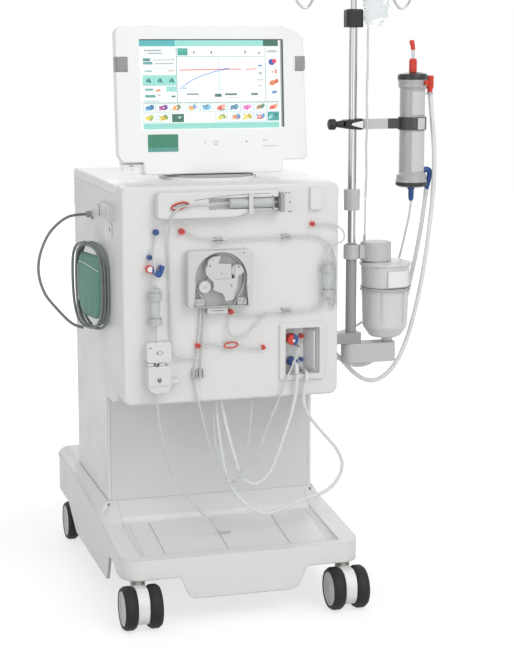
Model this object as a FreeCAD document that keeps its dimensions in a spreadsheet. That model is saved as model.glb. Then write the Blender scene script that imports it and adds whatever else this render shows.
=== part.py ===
import FreeCAD, Part
import math
import os
import Sketcher

os.makedirs("parts", exist_ok=True)
doc = FreeCAD.newDocument("DialysisMachine")
sheet = doc.addObject("Spreadsheet::Sheet", "Sizes")
Vector = FreeCAD.Vector

# Driving dimensions in millimetres and degrees. Places are counted from the machine's mid-plane,
# from the middle of the base's depth and from the floor, unless a line says otherwise.
DIMENSIONS = {
    "mid_x": -108,
    "mid_y": 27,

    "base_width": 566,
    "base_depth": 872,
    "base_corner_radius": 44,
    "base_wall": 7,
    "base_underside": 109,
    "skirt_bottom": 56,
    "base_front_height": 154,
    "base_rear_height": 206,
    "deck_height": 216,
    "base_ceiling": 122,
    "tray_half_width": 236,
    "tray_lip": 26,
    "tray_floor_front": 142,
    "tray_floor_rear": 176,
    "tray_ledge_height": 186,
    "tray_ledge_y": -196,
    "groove_width": 3,
    "groove_depth": 1.6,
    "groove_pitch": 150,
    "groove_first_x": -173.5,
    "front_skirt_half": 117,
    "front_arch_half": 158,
    "side_skirt_front": -245,
    "side_skirt_rear": 150,
    "side_arch_front": -352,
    "side_arch_rear": 262,
    "base_shoulder_height": 184,
    "base_level_y": 300,
    "deck_margin": 5,
    "hollow_depth": 340,

    "wheel_radius": 50,
    "tyre_width": 29,
    "hub_radius": 39,
    "hub_dish": 3,
    "wheel_gap": 29,
    "caster_inset": 38,
    "caster_front_y": -411,
    "caster_rear_y": 313,
    "caster_trail": 30,
    "stem_radius": 11,
    "stem_collar_radius": 17,
    "housing_width": 26,
    "housing_radius": 42,
    "axle_radius": 6,
    "running_gap": 0.4,
    "bearing_gap": 0.06,
    "frame_thickness": 14,
    "rail_width": 33,
    "post_width": 25,
    "post_inset": 20,
    "post_front_y": -100,
    "post_rear_y": 190,
    "shelf_height": 560,
    "shelf_thickness": 6,

    "cabinet_width": 512,
    "cabinet_wall": 8,
    "cabinet_back": 240,
    "panel_reach": 338,
    "panel_lift": 274,
    "panel_height": 498,
    "panel_corner_radius": 20,
    "panel_edge_radius": 7,
    "panel_return": 66,
    "pedestal_setback": 199,
    "gusset_depth": 76,
    "gusset_drop": 14,
    "top_thickness": 22,
    "top_edge_radius": 9,
    "seam": 0.5,

    "turntable_radius": 116,
    "turntable_height": 6,
    "turntable_y": -119,
    "spigot_radius": 26,
    "stand_lip_half": 168,
    "stand_thickness": 4,
    "neck_width": 150,
    "neck_depth": 40,
    "tilt_height": 128,
    "tilt_pin_radius": 6,
    "neck_y": -72,
    "lug_width": 70,
    "lug_height": 48,
    "apron_height": 29,
    "lip_depth": 34,
    "wedge_width": 46,
    "glass_seat": 7,
    "monitor_width": 458,
    "monitor_height": 312,
    "monitor_lift": 40,
    "monitor_face_y": -185,
    "monitor_lean": 4,
    "bezel_depth": 26,
    "monitor_corner_radius": 17,
    "monitor_shoulder": 22,
    "screen_width": 346,
    "screen_height": 208,
    "screen_rise": 74,
    "glass_thickness": 4,
    "rear_shell_depth": 46,
    "rear_shell_inset": 24,
    "tab_width": 28,
    "tab_height": 34,
    "tab_rise": 210,

    "syringe_x": -39,
    "syringe_rise": 456,
    "syringe_width": 282,
    "syringe_height": 60,
    "syringe_depth": 30,
    "syringe_taper": 62,
    "barrel_radius": 12.5,
    "barrel_length": 100,
    "barrel_x": -12,
    "plunger_travel": 60,
    "flange_radius": 16,
    "pusher_width": 10,
    "pusher_height": 44,
    "pusher_x": 103,
    "nozzle_length": 14,
    "nozzle_room": 36,
    "barrel_sink": 8,
    "barrel_up": 2,
    "barrel_gap": 0.5,
    "clip_bar_width": 10,
    "clip_bar_x": 34,

    "pump_x": -36,
    "pump_rise": 288,
    "pump_width": 152,
    "pump_height": 130,
    "pump_depth": 30,
    "pump_corner_radius": 10,
    "race_radius": 61,
    "race_depth": 20,
    "rotor_x": 2,
    "mouth_half": 64,
    "rotor_hub_radius": 27,
    "rotor_plate": 5,
    "roller_length": 13,
    "gate_width": 23,
    "gate_height": 17,
    "gate_reach": 50,
    "latch_width": 48,
    "latch_height": 16,
    "latch_x": -5,
    "rotor_depth": 22,
    "roller_radius": 14,
    "roller_reach": 42,
    "roller_angle": 205,
    "roller_pin_radius": 4,
    "roller_pin_length": 14,
    "roller_room": 1,

    "detector_x": -179,
    "detector_rise": 126,
    "detector_width": 58,
    "detector_height": 47,
    "detector_depth": 30,
    "clamp_rise": 64,
    "clamp_width": 54,
    "clamp_height": 62,
    "clamp_depth": 34,
    "lever_length": 22,
    "lever_radius": 7,
    "lever_seat": 16,
    "lever_drop": 8,
    "ear_width": 15,
    "ear_height": 6.5,
    "ear_pitch": 26,
    "line_slot": 5.6,
    "column_x": -185,

    "chamber_rise": 184,
    "chamber_radius": 11,
    "chamber_length": 96,
    "chamber_stand": 22,
    "arterial_x": 222,
    "arterial_rise": 232,
    "arterial_length": 92,
    "arterial_radius": 9,
    "holder_depth": 16,
    "holder_gap": 0.3,
    "holder_low": 4,
    "holder_high": 62,
    "clip_clearance": 0.6,

    "recess_x": 167,
    "recess_rise": 108,
    "recess_width": 111,
    "recess_height": 137,
    "recess_frame_wall": 14,
    "recess_frame_depth": 7,
    "recess_depth": 42,
    "recess_slope": 26,
    "recess_floor": 3,

    "flap_x": 198,
    "flap_rise": 462,
    "flap_width": 29,
    "flap_height": 52,
    "flap_depth": 9,

    "line_diameter": 5,
    "line_stand": 9,
    "clip_width": 12,
    "clip_height": 20,
    "clip_depth": 14,

    "pole_x": 322,
    "pole_y": -240,
    "pole_sleeve_foot": 911,
    "pole_sleeve_top": 961,
    "pole_tube_radius": 13,
    "pole_rod_radius": 7,
    "pole_sleeve_radius": 19,
    "pole_chrome_radius": 9.6,
    "pole_tube_top": 832,
    "pivot_foot": 545,
    "pivot_radius": 9,
    "bore_foot": 1050,
    "pole_top": 1436,
    "pole_overlap": 300,
    "collar_foot": 1338,
    "collar_height": 42,
    "collar_width": 41,
    "collar_depth": 36,
    "hook_radius": 3,
    "bracket_z": 592,
    "bracket_height": 26,
    "bracket_width": 40,

    "holder_z": 1114,
    "dialyser_x": 472,
    "dialyser_flare": 7,
    "foot_port_length": 34,
    "top_port_length": 73,
    "side_port_reach": 44,
    "upper_port_rise": 248,
    "elbow_diameter": 12,
    "jaw_reach": 22,
    "jaw_height": 28,
    "jaw_depth": 30,
    "screw_radius": 4,
    "bar_depth": 9,
    "dialyser_radius": 30,
    "dialyser_drop": 152,
    "dialyser_length": 268,
    "dialyser_cap_height": 26,
    "band_height": 30,
    "band_thickness": 4,
    "knob_radius": 13,
    "knob_reach": 54,
    "port_cap_radius": 9,

    "head_radius": 37,
    "head_height": 46,
    "head_foot": 789,
    "head_reach": 62,
    "link_depth": 30,
    "cup_reach": 87,
    "cup_spigot": 7,
    "cup_lift": 12,
    "arm_width": 46,
    "cup_radius": 63,
    "cup_taper": 9,

    "cuff_y": -112,
    "cuff_z": 738,
    "cuff_width": 145,
    "cuff_height": 150,
    "cuff_thickness": 26,
    "cuff_gap": 16,
    "cuff_turn": 10,
    "coil_x": -279,
    "coil_y": -112,
    "coil_half_width": 91,
    "coil_half_height": 97,
    "coil_squareness": 0.68,
    "coil_pitch": 7.2,
    "coil_turns": 3.5,
    "coil_steps": 15,
    "coil_start": -78,
    "clip_box_y": -196,
    "clip_box_z": 922,
    "clip_box_width": 130,
    "clip_box_height": 34,
    "clip_box_depth": 16,
    "strip_y": -138,
    "strip_z": 716,
    "strip_height": 138,
    "strip_width": 9,
    "strip_depth": 10,

    "hydraulic_width": 400,
    "hydraulic_height": 300,
    "hydraulic_depth": 230,
    "power_width": 420,
    "power_height": 150,
    "power_depth": 120,
    "inlet_width": 48,
    "inlet_height": 30,
    "inlet_depth": 26,
    "inlet_wall": 3,
    "inlet_x": 120,
    "inlet_rise": 60,
    "vent_length": 150,
    "vent_width": 6,
    "vent_pitch": 16,
    "vent_rise": 420,
    "gear_pump_x": 90,
    "gear_pump_rise": 90,
    "gear_pump_radius": 38,
    "gear_pump_length": 34,
    "heater_radius": 45,
    "heater_height": 80,
    "motor_radius": 32,
    "motor_length": 80,

    "bag_width": 66,
    "bag_height": 84,
    "bag_thickness": 22,
    "bag_x": 378,
    "side_socket_radius": 10,
    "side_socket_bore": 5.6,
    "side_socket_length": 12,
}


def fill_sheet():
    """Write every driving dimension to the sheet, its value beside its name."""
    for row, (name, value) in enumerate(DIMENSIONS.items(), start=1):
        sheet.set(f"A{row}", name)
        sheet.set(f"B{row}", str(value))
        sheet.setAlias(f"B{row}", name)
    doc.recompute()


class Size:
    """A number that remembers the sheet expression it comes from."""

    def __init__(self, text, number):
        self.text = text
        self.number = float(number)

    def joined(self, sign, other, number):
        return Size(f"({self.text} {sign} {size(other).text})", number)

    def __add__(self, other):
        return self.joined("+", other, self.number + size(other).number)

    def __radd__(self, other):
        return size(other) + self

    def __sub__(self, other):
        return self.joined("-", other, self.number - size(other).number)

    def __rsub__(self, other):
        return size(other) - self

    def __mul__(self, other):
        return self.joined("*", other, self.number * size(other).number)

    def __rmul__(self, other):
        return size(other) * self

    def __truediv__(self, other):
        return self.joined("/", other, self.number / size(other).number)

    def __neg__(self):
        return Size(f"(0 - {self.text})", -self.number)

    def __float__(self):
        return self.number


def size(value):
    """A plain number as a Size; a Size as it is."""
    return value if isinstance(value, Size) else Size(repr(value), value)


class SheetSizes:
    """Every alias of the sheet as an attribute."""

    def __getattr__(self, alias):
        return Size(f"Sizes.{alias}", sheet.get(alias))


fill_sheet()
s = SheetSizes()

X, Y, Z = Vector(1, 0, 0), Vector(0, 1, 0), Vector(0, 0, 1)

# A piece is drawn lying on its back, with its outline across and up and its thickness towards the
# viewer, and is then turned to face one way.
FACING = {
    "up": FreeCAD.Rotation(X, Y, Z, "ZXY"),
    "down": FreeCAD.Rotation(X, -Y, -Z, "ZXY"),
    "front": FreeCAD.Rotation(X, Z, -Y, "ZXY"),
    "back": FreeCAD.Rotation(-X, Z, Y, "ZXY"),
    "right": FreeCAD.Rotation(Y, Z, X, "ZXY"),
    "left": FreeCAD.Rotation(-Y, Z, -X, "ZXY"),
}
FACING["screen"] = FreeCAD.Rotation(X, -float(s.monitor_lean)) * FACING["front"]
FACING["screen back"] = FreeCAD.Rotation(X, -float(s.monitor_lean)) * FACING["back"]
FACING["screen side"] = FreeCAD.Rotation(X, -float(s.monitor_lean)) * FACING["right"]
FACING["cuff"] = FreeCAD.Rotation(Z, float(s.cuff_turn)) * FACING["left"]

NODES = []


def bind(thing, prop, value):
    """Give a property its value through the sheet."""
    thing.setExpression(prop, size(value).text)


def locate(thing, place):
    """Set a piece's place, counted from the mid-plane, the base's middle and the floor."""
    across, deep, high = place
    bind(thing, "Placement.Base.x", s.mid_x + across)
    bind(thing, "Placement.Base.y", s.mid_y + deep)
    bind(thing, "Placement.Base.z", high)


def new_body(label, place, facing="up"):
    body = doc.addObject("PartDesign::Body", label)
    body.Label = label
    body.Placement = FreeCAD.Placement(Vector(), FACING[facing])
    locate(body, place)
    return body


def new_sketch(body, plane="XY", offset=0):
    """An empty sketch on one of the body's own origin planes, moved along that plane's normal."""
    flat = body.newObject("Sketcher::SketchObject", body.Name + "Sketch")
    origin = [part for part in body.Origin.OriginFeatures if part.Role == plane + "_Plane"][0]
    flat.AttachmentSupport = (origin, [""])
    flat.MapMode = "FlatFace"
    bind(flat, "AttachmentOffset.Base.z", offset)
    return flat


def hold(flat, kind, where, value):
    """Add a dimension to a sketch and drive it from the sheet."""
    index = flat.addConstraint(Sketcher.Constraint(kind, *where, size(value).number))
    bind(flat, f"Constraints[{index}]", value)


def hold_point(flat, geometry, end, across, up):
    hold(flat, "DistanceX", (-1, 1, geometry, end), across)
    hold(flat, "DistanceY", (-1, 1, geometry, end), up)


def draw_outline(flat, corners):
    """A closed outline. A corner is (across, up), or (across, up, radius) to round it."""
    points = [Vector(float(corner[0]), float(corner[1]), 0) for corner in corners]
    count = len(points)
    ends, bends = [], []
    for index, (point, corner) in enumerate(zip(points, corners)):
        if len(corner) == 2:
            ends.append((point, point))
            bends.append(None)
            continue
        radius = float(corner[2])
        back = (points[index - 1] - point).normalize()
        ahead = (points[(index + 1) % count] - point).normalize()
        half = back.getAngle(ahead) / 2
        reach = radius / math.tan(half)
        centre = point + (back + ahead).normalize() * (radius / math.sin(half))
        ends.append((point + back * reach, point + ahead * reach))
        bends.append((centre, radius, (-back).cross(ahead).z > 0))
    sides = [
        flat.addGeometry(Part.LineSegment(ends[i][1], ends[(i + 1) % count][0]), False)
        for i in range(count)
    ]
    for index, corner in enumerate(corners):
        before, after = sides[index - 1], sides[index]
        if bends[index] is None:
            flat.addConstraint(Sketcher.Constraint("Coincident", before, 2, after, 1))
            hold_point(flat, after, 1, corner[0], corner[1])
            continue
        centre, radius, leftward = bends[index]
        first, last = ends[index] if leftward else reversed(ends[index])
        angles = [math.atan2(tip.y - centre.y, tip.x - centre.x) for tip in (first, last)]
        if angles[1] < angles[0]:
            angles[1] += 2 * math.pi
        arc = flat.addGeometry(Part.ArcOfCircle(Part.Circle(centre, Z, radius), *angles), False)
        arrive, leave = (1, 2) if leftward else (2, 1)
        mark = flat.addGeometry(Part.Point(points[index]), True)
        flat.addConstraint(Sketcher.Constraint("PointOnObject", mark, 1, before))
        flat.addConstraint(Sketcher.Constraint("PointOnObject", mark, 1, after))
        flat.addConstraint(Sketcher.Constraint("Tangent", before, 2, arc, arrive))
        flat.addConstraint(Sketcher.Constraint("Tangent", after, 1, arc, leave))
        hold(flat, "Radius", (arc,), corner[2])
        hold_point(flat, mark, 1, corner[0], corner[1])


def draw_circle(flat, across, up, radius):
    circle = flat.addGeometry(
        Part.Circle(Vector(float(across), float(up), 0), Z, float(radius)), False
    )
    hold_point(flat, circle, 3, across, up)
    hold(flat, "Radius", (circle,), radius)


def draw(flat, shape):
    """Draw an outline from its corners, or a circle from ("circle", across, up, radius)."""
    if shape[0] == "circle":
        draw_circle(flat, *shape[1:])
    else:
        draw_outline(flat, shape)


def pad(body, shape, length, plane="XY", offset=0):
    """Add material from a sketch, along its plane's normal."""
    flat = new_sketch(body, plane, offset)
    draw(flat, shape)
    feature = body.newObject("PartDesign::Pad", body.Name + "Pad")
    feature.Profile = flat
    bind(feature, "Length", length)
    doc.recompute()
    return feature


def pocket(body, shape, depth, plane="XY", offset=0):
    """Cut material from a sketch, along its plane's normal."""
    full = body.Shape.Volume
    flat = new_sketch(body, plane, offset)
    draw(flat, shape)
    feature = body.newObject("PartDesign::Pocket", body.Name + "Pocket")
    feature.Profile = flat
    feature.Reversed = True
    bind(feature, "Length", depth)
    doc.recompute()
    if not body.Shape.Volume < full:
        raise RuntimeError(f"{feature.Name} cuts nothing")
    return feature


def repeat(body, feature, axis, length, count):
    """Repeat a feature in a row along one of the body's own axes."""
    row = body.newObject("PartDesign::LinearPattern", body.Name + "Row")
    row.Originals = [feature]
    line = [part for part in body.Origin.OriginFeatures if part.Role == axis + "_Axis"][0]
    row.Direction = (line, [""])
    bind(row, "Length", length)
    row.Occurrences = count
    body.Tip = row
    doc.recompute()
    return row


def rounded(body, radius, chosen):
    """Round the edges that chosen picks from the body as it is so far."""
    doc.recompute()
    tip = body.Tip
    names = [f"Edge{i}" for i, edge in enumerate(tip.Shape.Edges, start=1) if chosen(edge)]
    fillet = body.newObject("PartDesign::Fillet", body.Name + "Fillet")
    fillet.Base = (tip, names)
    bind(fillet, "Radius", radius)
    doc.recompute()
    return fillet


def at_height(height):
    """Picks the edges that lie in the plane at a height of the piece as it is drawn."""
    def chosen(edge):
        return all(abs(vertex.Z - float(height)) < 0.01 for vertex in edge.Vertexes)
    return chosen


def slab(label, shape, thickness, place, facing="front", edge=None):
    """A padded outline, with the rim of its outer face rounded if edge gives a radius."""
    body = new_body(label, place, facing)
    pad(body, shape, thickness)
    if edge is not None:
        rounded(body, edge, at_height(thickness))
    return body


def turned(label, shape, place, facing="up"):
    """A round piece, turned from an outline of (radius, height) corners."""
    body = new_body(label, place, facing)
    flat = new_sketch(body, "XZ")
    draw(flat, shape)
    feature = body.newObject("PartDesign::Revolution", body.Name + "Turn")
    feature.Profile = flat
    feature.ReferenceAxis = (flat, ["V_Axis"])
    feature.Angle = 360
    doc.recompute()
    return body


def rectangle(width, height, radius=None, across=0, up=0):
    """Four corners about a centre."""
    right, top = width / 2 + across, height / 2 + up
    left, low = across - width / 2, up - height / 2
    corners = [(left, low), (right, low), (right, top), (left, top)]
    return corners if radius is None else [corner + (radius,) for corner in corners]


def tube_profile(outer, inner, foot, top):
    """The outline of a plain ring or pipe for turned."""
    return [(inner, foot), (outer, foot), (outer, top), (inner, top)]


def node(label, *pieces):
    """Name a node: one piece, or a group of separate solids that share it."""
    thing = pieces[0]
    if len(pieces) > 1:
        thing = doc.addObject("Part::Compound", label)
        thing.Links = list(pieces)
    thing.Label = label
    NODES.append(thing)
    return thing


def joined(label, *pieces):
    """Pieces welded or moulded as one solid."""
    thing = doc.addObject("Part::MultiFuse", label)
    thing.Shapes = list(pieces)
    thing.Refine = True
    return thing


def without(label, base, tool):
    """One piece less the shape of another."""
    thing = doc.addObject("Part::Cut", label)
    thing.Base = base
    thing.Tool = tool
    return thing


def block(label, lengths, corner):
    """A square bar or plate from its three lengths and its lowest corner."""
    thing = doc.addObject("Part::Box", label)
    for prop, length in zip(("Length", "Width", "Height"), lengths):
        bind(thing, prop, length)
    locate(thing, corner)
    return thing


def rod(label, radius, length, place, facing="up"):
    """A plain round bar from the middle of its foot."""
    thing = doc.addObject("Part::Cylinder", label)
    bind(thing, "Radius", radius)
    bind(thing, "Height", length)
    thing.Placement = FreeCAD.Placement(Vector(), FACING[facing])
    locate(thing, place)
    return thing


def path_wire(points):
    """Straight runs joined by tangent arcs, each as large as its two runs allow."""
    spots = [Vector(*(float(value) for value in point)) for point in points]
    edges, radii = [], []
    start = spots[0]
    for before, corner, after in zip(spots, spots[1:], spots[2:]):
        back, ahead = before - corner, after - corner
        reach = 0.45 * min(back.Length, ahead.Length)
        half_turn = (math.pi - back.getAngle(ahead)) / 2
        radius = reach / math.tan(half_turn)
        back.normalize()
        ahead.normalize()
        middle = (back + ahead).normalize()
        centre = corner + middle * (radius / math.cos(half_turn))
        arrive, leave = corner + back * reach, corner + ahead * reach
        edges.append(Part.LineSegment(start, arrive).toShape())
        edges.append(Part.Arc(arrive, centre - middle * radius, leave).toShape())
        radii.append(radius)
        start = leave
    edges.append(Part.LineSegment(start, spots[-1]).toShape())
    return Part.Wire(edges), radii


def bent_tube(label, points, diameter):
    """A tube or wire along a route of points."""
    wire, radii = path_wire(points)
    spine = wire.Edges[0]
    start = spine.valueAt(spine.FirstParameter)
    ring = Part.Circle(start, spine.tangentAt(spine.FirstParameter), float(diameter) / 2)
    shape = wire.makePipeShell([Part.Wire(ring.toShape())], True, False)
    ideal = math.pi * float(diameter) ** 2 / 4 * wire.Length
    print(f"{label}: length {wire.Length:.0f}, least radius {min(radii):.0f}, "
          f"volume over section times length {shape.Volume / ideal:.4f}")
    thing = doc.addObject("Part::Feature", label)
    thing.Shape = shape
    locate(thing, (0, 0, 0))
    return thing


# Tube clips on the front panel: across, up from the fascia's foot, and how the slot runs.
CLIP_PLACES = [
    (-34, 375, "across"),
    (125, 377, "across"),
    (126, 205, "across"),
    (-92, 69, "up"),
    (-77, 69, "up"),
]

# Sockets on the left wall: name, depth, height, radius, length.
LEFT_SOCKETS = [
    ("cuff_socket", 18, 893, 8, 12),
    ("spare_socket", -6, 886, 4, 5),
    ("cuff_peg", -118, 776, 6, 13.6),
]

# Hose sockets on the right wall: name, depth, height.
RIGHT_SOCKETS = [
    ("hose_socket_a", -200, 573),
    ("hose_socket_b", -172, 562),
    ("hose_socket_c", -140, 598),
]

# One hook's route from the rod outwards: across, up from the rod's top.
HOOK_ROUTE = [(0, -4), (58, -2), (92, -12), (102, -40), (116, -58), (138, -44), (144, -16)]

# The elbow at the dialyser's lower side port, counted from the middle of the dialyser's foot.
ELBOW_ROUTE = [(30.4, 0, 40), (41, 0, 41), (47, 0, 34), (45, 1, 16), (40, 1.6, -5)]

# Elbows that turn a hose down in front of the recess: name, diameter, route.
RECESS_ELBOWS = [
    ("elbow_lower", 9, [(150, -329.1, 569), (150, -343, 569), (150, -353.5, 562), (150, -356.5, 548)]),
    ("elbow_side", 7, [
        (176, -309.1, 549), (176, -330, 549), (175.4, -346, 548.8), (174, -356, 542), (172, -359, 531),
    ]),
]

# The pump rotor's raised part, seen from the front and counted from the rotor's axis.
ROTOR_OUTLINE = [
    (-1.3, 53, 2), (-7.6, 35, 3), (22.9, 34, 2), (23.5, 1, 2), (30.5, 0, 2), (31.8, 30.5), (44.5, 29.8, 4),
    (50, 23), (52.5, 17.5), (50, 11.4), (39.4, 6.4, 3), (36.2, -20.3, 3), (30.5, -33), (29.5, -47, 4),
    (8.9, -51.4, 4), (7, -40.6, 3), (2.5, -33), (-5, -30.5), (-20.3, -24, 4), (-17.8, -15.2), (-19, -6.4, 3),
    (-30.5, 5, 3), (-36.2, 12.7), (-36.8, 25.4), (-31.8, 34.3), (-30.5, 43.2, 3), (-20.3, 50.8, 3),
]

# Blood lines that clips hold on the panel: across, out from the panel, up from the fascia's foot.
HELD_LINES = {
    "line_top": [
        (-112, 9, 396), (-104, 9, 392), (-84, 9, 380), (-34, 9, 375), (40, 9, 376), (125, 9, 377),
        (180, 9, 379), (218, 9, 368), (239, 9, 342), (247, 9, 300), (246.5, 9, 255), (247, 9, 218),
        (245.4, 9, 211.5), (241.5, 9, 208), (237.6, 9, 211.5), (236, 9, 218), (236.3, 9, 270),
    ],
    "line_bottom": [
        (-4, 9, 203), (18, 9, 200), (46, 9, 199), (80, 9, 202), (126, 9, 205), (176, 9, 204),
        (208, 12, 210), (220, 18, 222), (222, 22, 232),
    ],
    "line_left": [
        (-77, 9, 222), (-78, 9, 198), (-81, 9, 160), (-84, 9, 128), (-87, 9, 100), (-92, 9, 78), (-92, 9, 59),
    ],
    "line_left_second": [
        (-69.5, 9, 222), (-70, 9, 190), (-73, 9, 150), (-75, 9, 112), (-77, 9, 82), (-77.3, 9, 59),
    ],
    "line_branch": [(-70.4, 9, 138), (-56, 9, 136), (-7, 9, 132), (34, 9, 124), (66, 9, 122)],
    "line_loop": [
        (-6, 14.6, 202), (-14, 14.6, 184), (-14, 14.6, 164), (-2, 14.6, 150), (20, 14.6, 150),
        (42, 14.6, 166), (60, 14.6, 186), (78, 14.6, 200),
    ],
    "line_outer": [
        (194, 9, 404), (216, 9, 404), (244, 9, 400), (262, 9, 388), (268, 10, 372), (258, 14, 360),
        (240, 18, 357), (226, 21, 348), (222, 22, 334), (222, 22, 324),
    ],
    "line_heparin": [
        (-26.3, 22, 458), (-36, 23, 458.4), (-48, 29, 458.2), (-62, 34, 457.4), (-96, 34.5, 457.6),
        (-126, 34.8, 455), (-143, 34.6, 444), (-151, 34.3, 427), (-152, 30, 413), (-152.2, 19, 401),
        (-151.5, 10.5, 388), (-151, 9, 366), (-149.6, 9, 320), (-147, 9, 240), (-146.6, 9, 160), (-144, 9, 118),
        (-133, 9, 108), (-112, 9, 107), (-86, 9, 106),
    ],
    "line_column_top": [
        (-179, 9, 390), (-182, 10, 372), (-188, 16, 352), (-188, 21, 336), (-185, 22, 318), (-185, 22, 306),
    ],
    "line_column": [(-185, 22, 184), (-185, 22, 172), (-184, 22, 160), (-185, 22, 100), (-185, 22, 33)],
}

# Caps, luers and couplings: name, across, up, out from the panel, facing, radius, length.
FITTINGS = [
    ("cap_blue_top", -179, 396, 0, "front", 6.5, 13),
    ("cap_blue_second", -194, 340, 0, "front", 5.5, 12),
    ("cluster_ring", -195, 314, 0, "front", 9, 18),
    ("cluster_blue", -179, 305, 0, "front", 7, 32),
    ("cluster_luer", -168, 317, 0, "front", 5.5, 22),
    ("cap_red_top", -120, 396, 0, "front", 7, 14),
    ("cap_red_right", 189, 404, 0, "front", 5.5, 13),
    ("cap_red_left", -84, 134, 0, "front", 6, 14),
    ("cap_red_pump", -7, 209, 4, "front", 6, 12),
    ("cap_red_end", 71, 122, 0, "front", 5.5, 13),
    ("coupling_upper", 149, 132, -39, "front", 13, 28),
    ("coupling_lower", 150, 79, -39, "front", 11.5, 30),
    ("port_red", 176, 136, -39, "front", 5, 12),
    ("port_blue", 176, 81, -39, "front", 4.5, 12),
    ("socket_upper", 167, 115, -39, "front", 4, 10),
    ("socket_lower", 153, 59, -39, "front", 3.8, 10),
    ("socket_side", 176, 59, -39, "front", 4, 10),
]

# Ring-shaped pinch clamps: name, across, up, out from the panel, width, height.
PINCH_CLAMPS = [
    ("pinch_syringe", -130, 456, 30, 42, 17),
    ("pinch_branch", -7, 132, 6, 34, 15),
]


def coil_route():
    """The cuff's hose in loose, uneven turns round the cuff, from its lower end outwards."""
    sine = math.sin(math.radians(float(s.cuff_turn)))
    cosine = math.cos(math.radians(float(s.cuff_turn)))
    pitch = float(s.coil_pitch)
    steps = int(float(s.coil_steps))
    places = []
    for index in range(int(float(s.coil_turns) * steps) + 1):
        turn = index / steps
        angle = math.radians(float(s.coil_start)) + turn * math.tau
        spread = 1.035 + 0.035 * math.sin(turn * 2.1) + 0.01 * math.sin(index * 1.7)
        out = pitch * (turn - 1) + 0.8 * math.sin(index * 0.9)
        along, up = (
            float(half) * spread * math.copysign(abs(share) ** float(s.coil_squareness), share)
            for half, share in ((s.coil_half_width, math.cos(angle)), (s.coil_half_height, math.sin(angle)))
        )
        places.append((
            float(s.coil_x) - along * sine - out * cosine,
            float(s.coil_y) + along * cosine - out * sine,
            float(s.cuff_z) + up,
        ))
    return places


# Free cords: diameter, and the route from one end to the other.
CORDS = {
    "cuff_hose": (7, [
        (-268.6, 18, 893), (-292, 14, 893), (-316, 8, 889), (-340, -4, 876), (-362, -16, 858), (-379, -30, 835),
        (-393, -44, 806), (-400, -56, 775), (-396, -60, 741), (-384, -62, 710), (-367, -64, 688),
        (-350, -66, 668), (-332, -68, 648), (-313, -70, 634), (-296, -74, 631),
    ]),
    "cuff_coil": (6.4, coil_route()),
    "dialysate_hose_a": (11, [
        (516, -240, 1189.4), (521, -246, 1120), (526, -253, 1040), (523, -257, 955), (513, -256, 850),
        (500, -253, 745), (482, -249, 655), (462, -247, 585), (436, -244, 530), (404, -236, 497),
        (372, -226, 490), (340, -214, 510), (312, -204, 545), (286, -200, 568), (268.4, -200, 573),
    ]),
    "dialysate_hose_b": (11, [
        (511.9, -238.3, 956), (508, -232, 900), (501, -222, 830), (491, -210, 755), (477, -202, 682),
        (456, -195, 614), (428, -189, 560), (396, -185, 528), (362, -181, 520), (330, -177, 532),
        (302, -173, 550), (282, -172, 560), (268.4, -172, 562),
    ]),
    "dialyser_line": (6, [
        (472, -240, 927.6), (471, -237, 900), (467, -224, 858), (465, -204, 812), (460, -186, 766),
        (449, -170, 718), (428, -157, 672), (398, -149, 632), (362, -144, 608), (324, -141, 598),
        (292, -140, 597), (268.4, -140, 598),
    ]),
    "drip_line": (5, [
        (358, -240, 1333.7), (355, -248, 1296), (352, -258, 1240), (349, -259, 1180), (352, -260, 1120),
        (349, -259, 1060), (352, -258, 1000), (350, -256, 945), (352, -252, 895), (352, -249, 852),
    ]),
    "line_v1": (5, [
        (-185, -360, 522), (-183, -360, 478), (-175, -357, 425), (-164, -352, 378), (-151, -346, 332),
        (-128, -341, 290), (-97, -334, 252), (-64, -324, 215), (-36, -311, 184), (-17, -300, 164),
    ]),
    "line_u1": (5, [
        (-92, -347, 548), (-90, -347, 520), (-80, -346, 480), (-68, -345, 430), (-57, -343, 380),
        (-44, -340, 334), (-26, -336, 300), (4, -330, 288), (30, -325, 318), (41, -320, 368),
        (48, -316, 420), (53, -312, 458), (54, -310, 482),
    ]),
    "line_u2": (5, [
        (-38, -300, 482), (-38, -302, 452), (-37, -307, 408), (-33, -316, 364), (-24, -325, 326),
        (-8, -333, 302), (18, -339, 297), (42, -342, 318), (58, -345, 354), (70, -348, 394),
        (88, -349, 440), (108, -352, 490), (127, -354, 538), (143, -354, 574), (157, -344, 598),
        (166, -330, 606), (167, -309.4, 605),
    ]),
    "line_u3": (8, [
        (-17, -300, 482), (-13, -301, 456), (-5, -304, 418), (4, -307, 380), (14, -311, 342), (24, -315, 306),
        (44, -319, 283), (70, -323, 283), (92, -329, 306), (106, -334, 342), (118, -340, 382), (132, -346, 426),
        (143, -351, 470), (149, -355, 512), (150, -356.9, 546.3),
    ]),
    "line_u4": (8, [
        (-28, -292, 482), (-27, -293, 450), (-22, -297, 402), (-16, -300, 352), (-8, -303, 304),
        (12, -306, 262), (46, -308, 222), (90, -310, 200), (136, -310, 214), (180, -309, 234),
        (226, -309, 240), (262, -309, 262), (283, -311, 304), (268, -315, 346), (234, -322, 384),
        (198, -334, 424), (172, -345, 462), (165, -353, 498), (171.4, -359, 529.1),
    ]),
}


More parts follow.
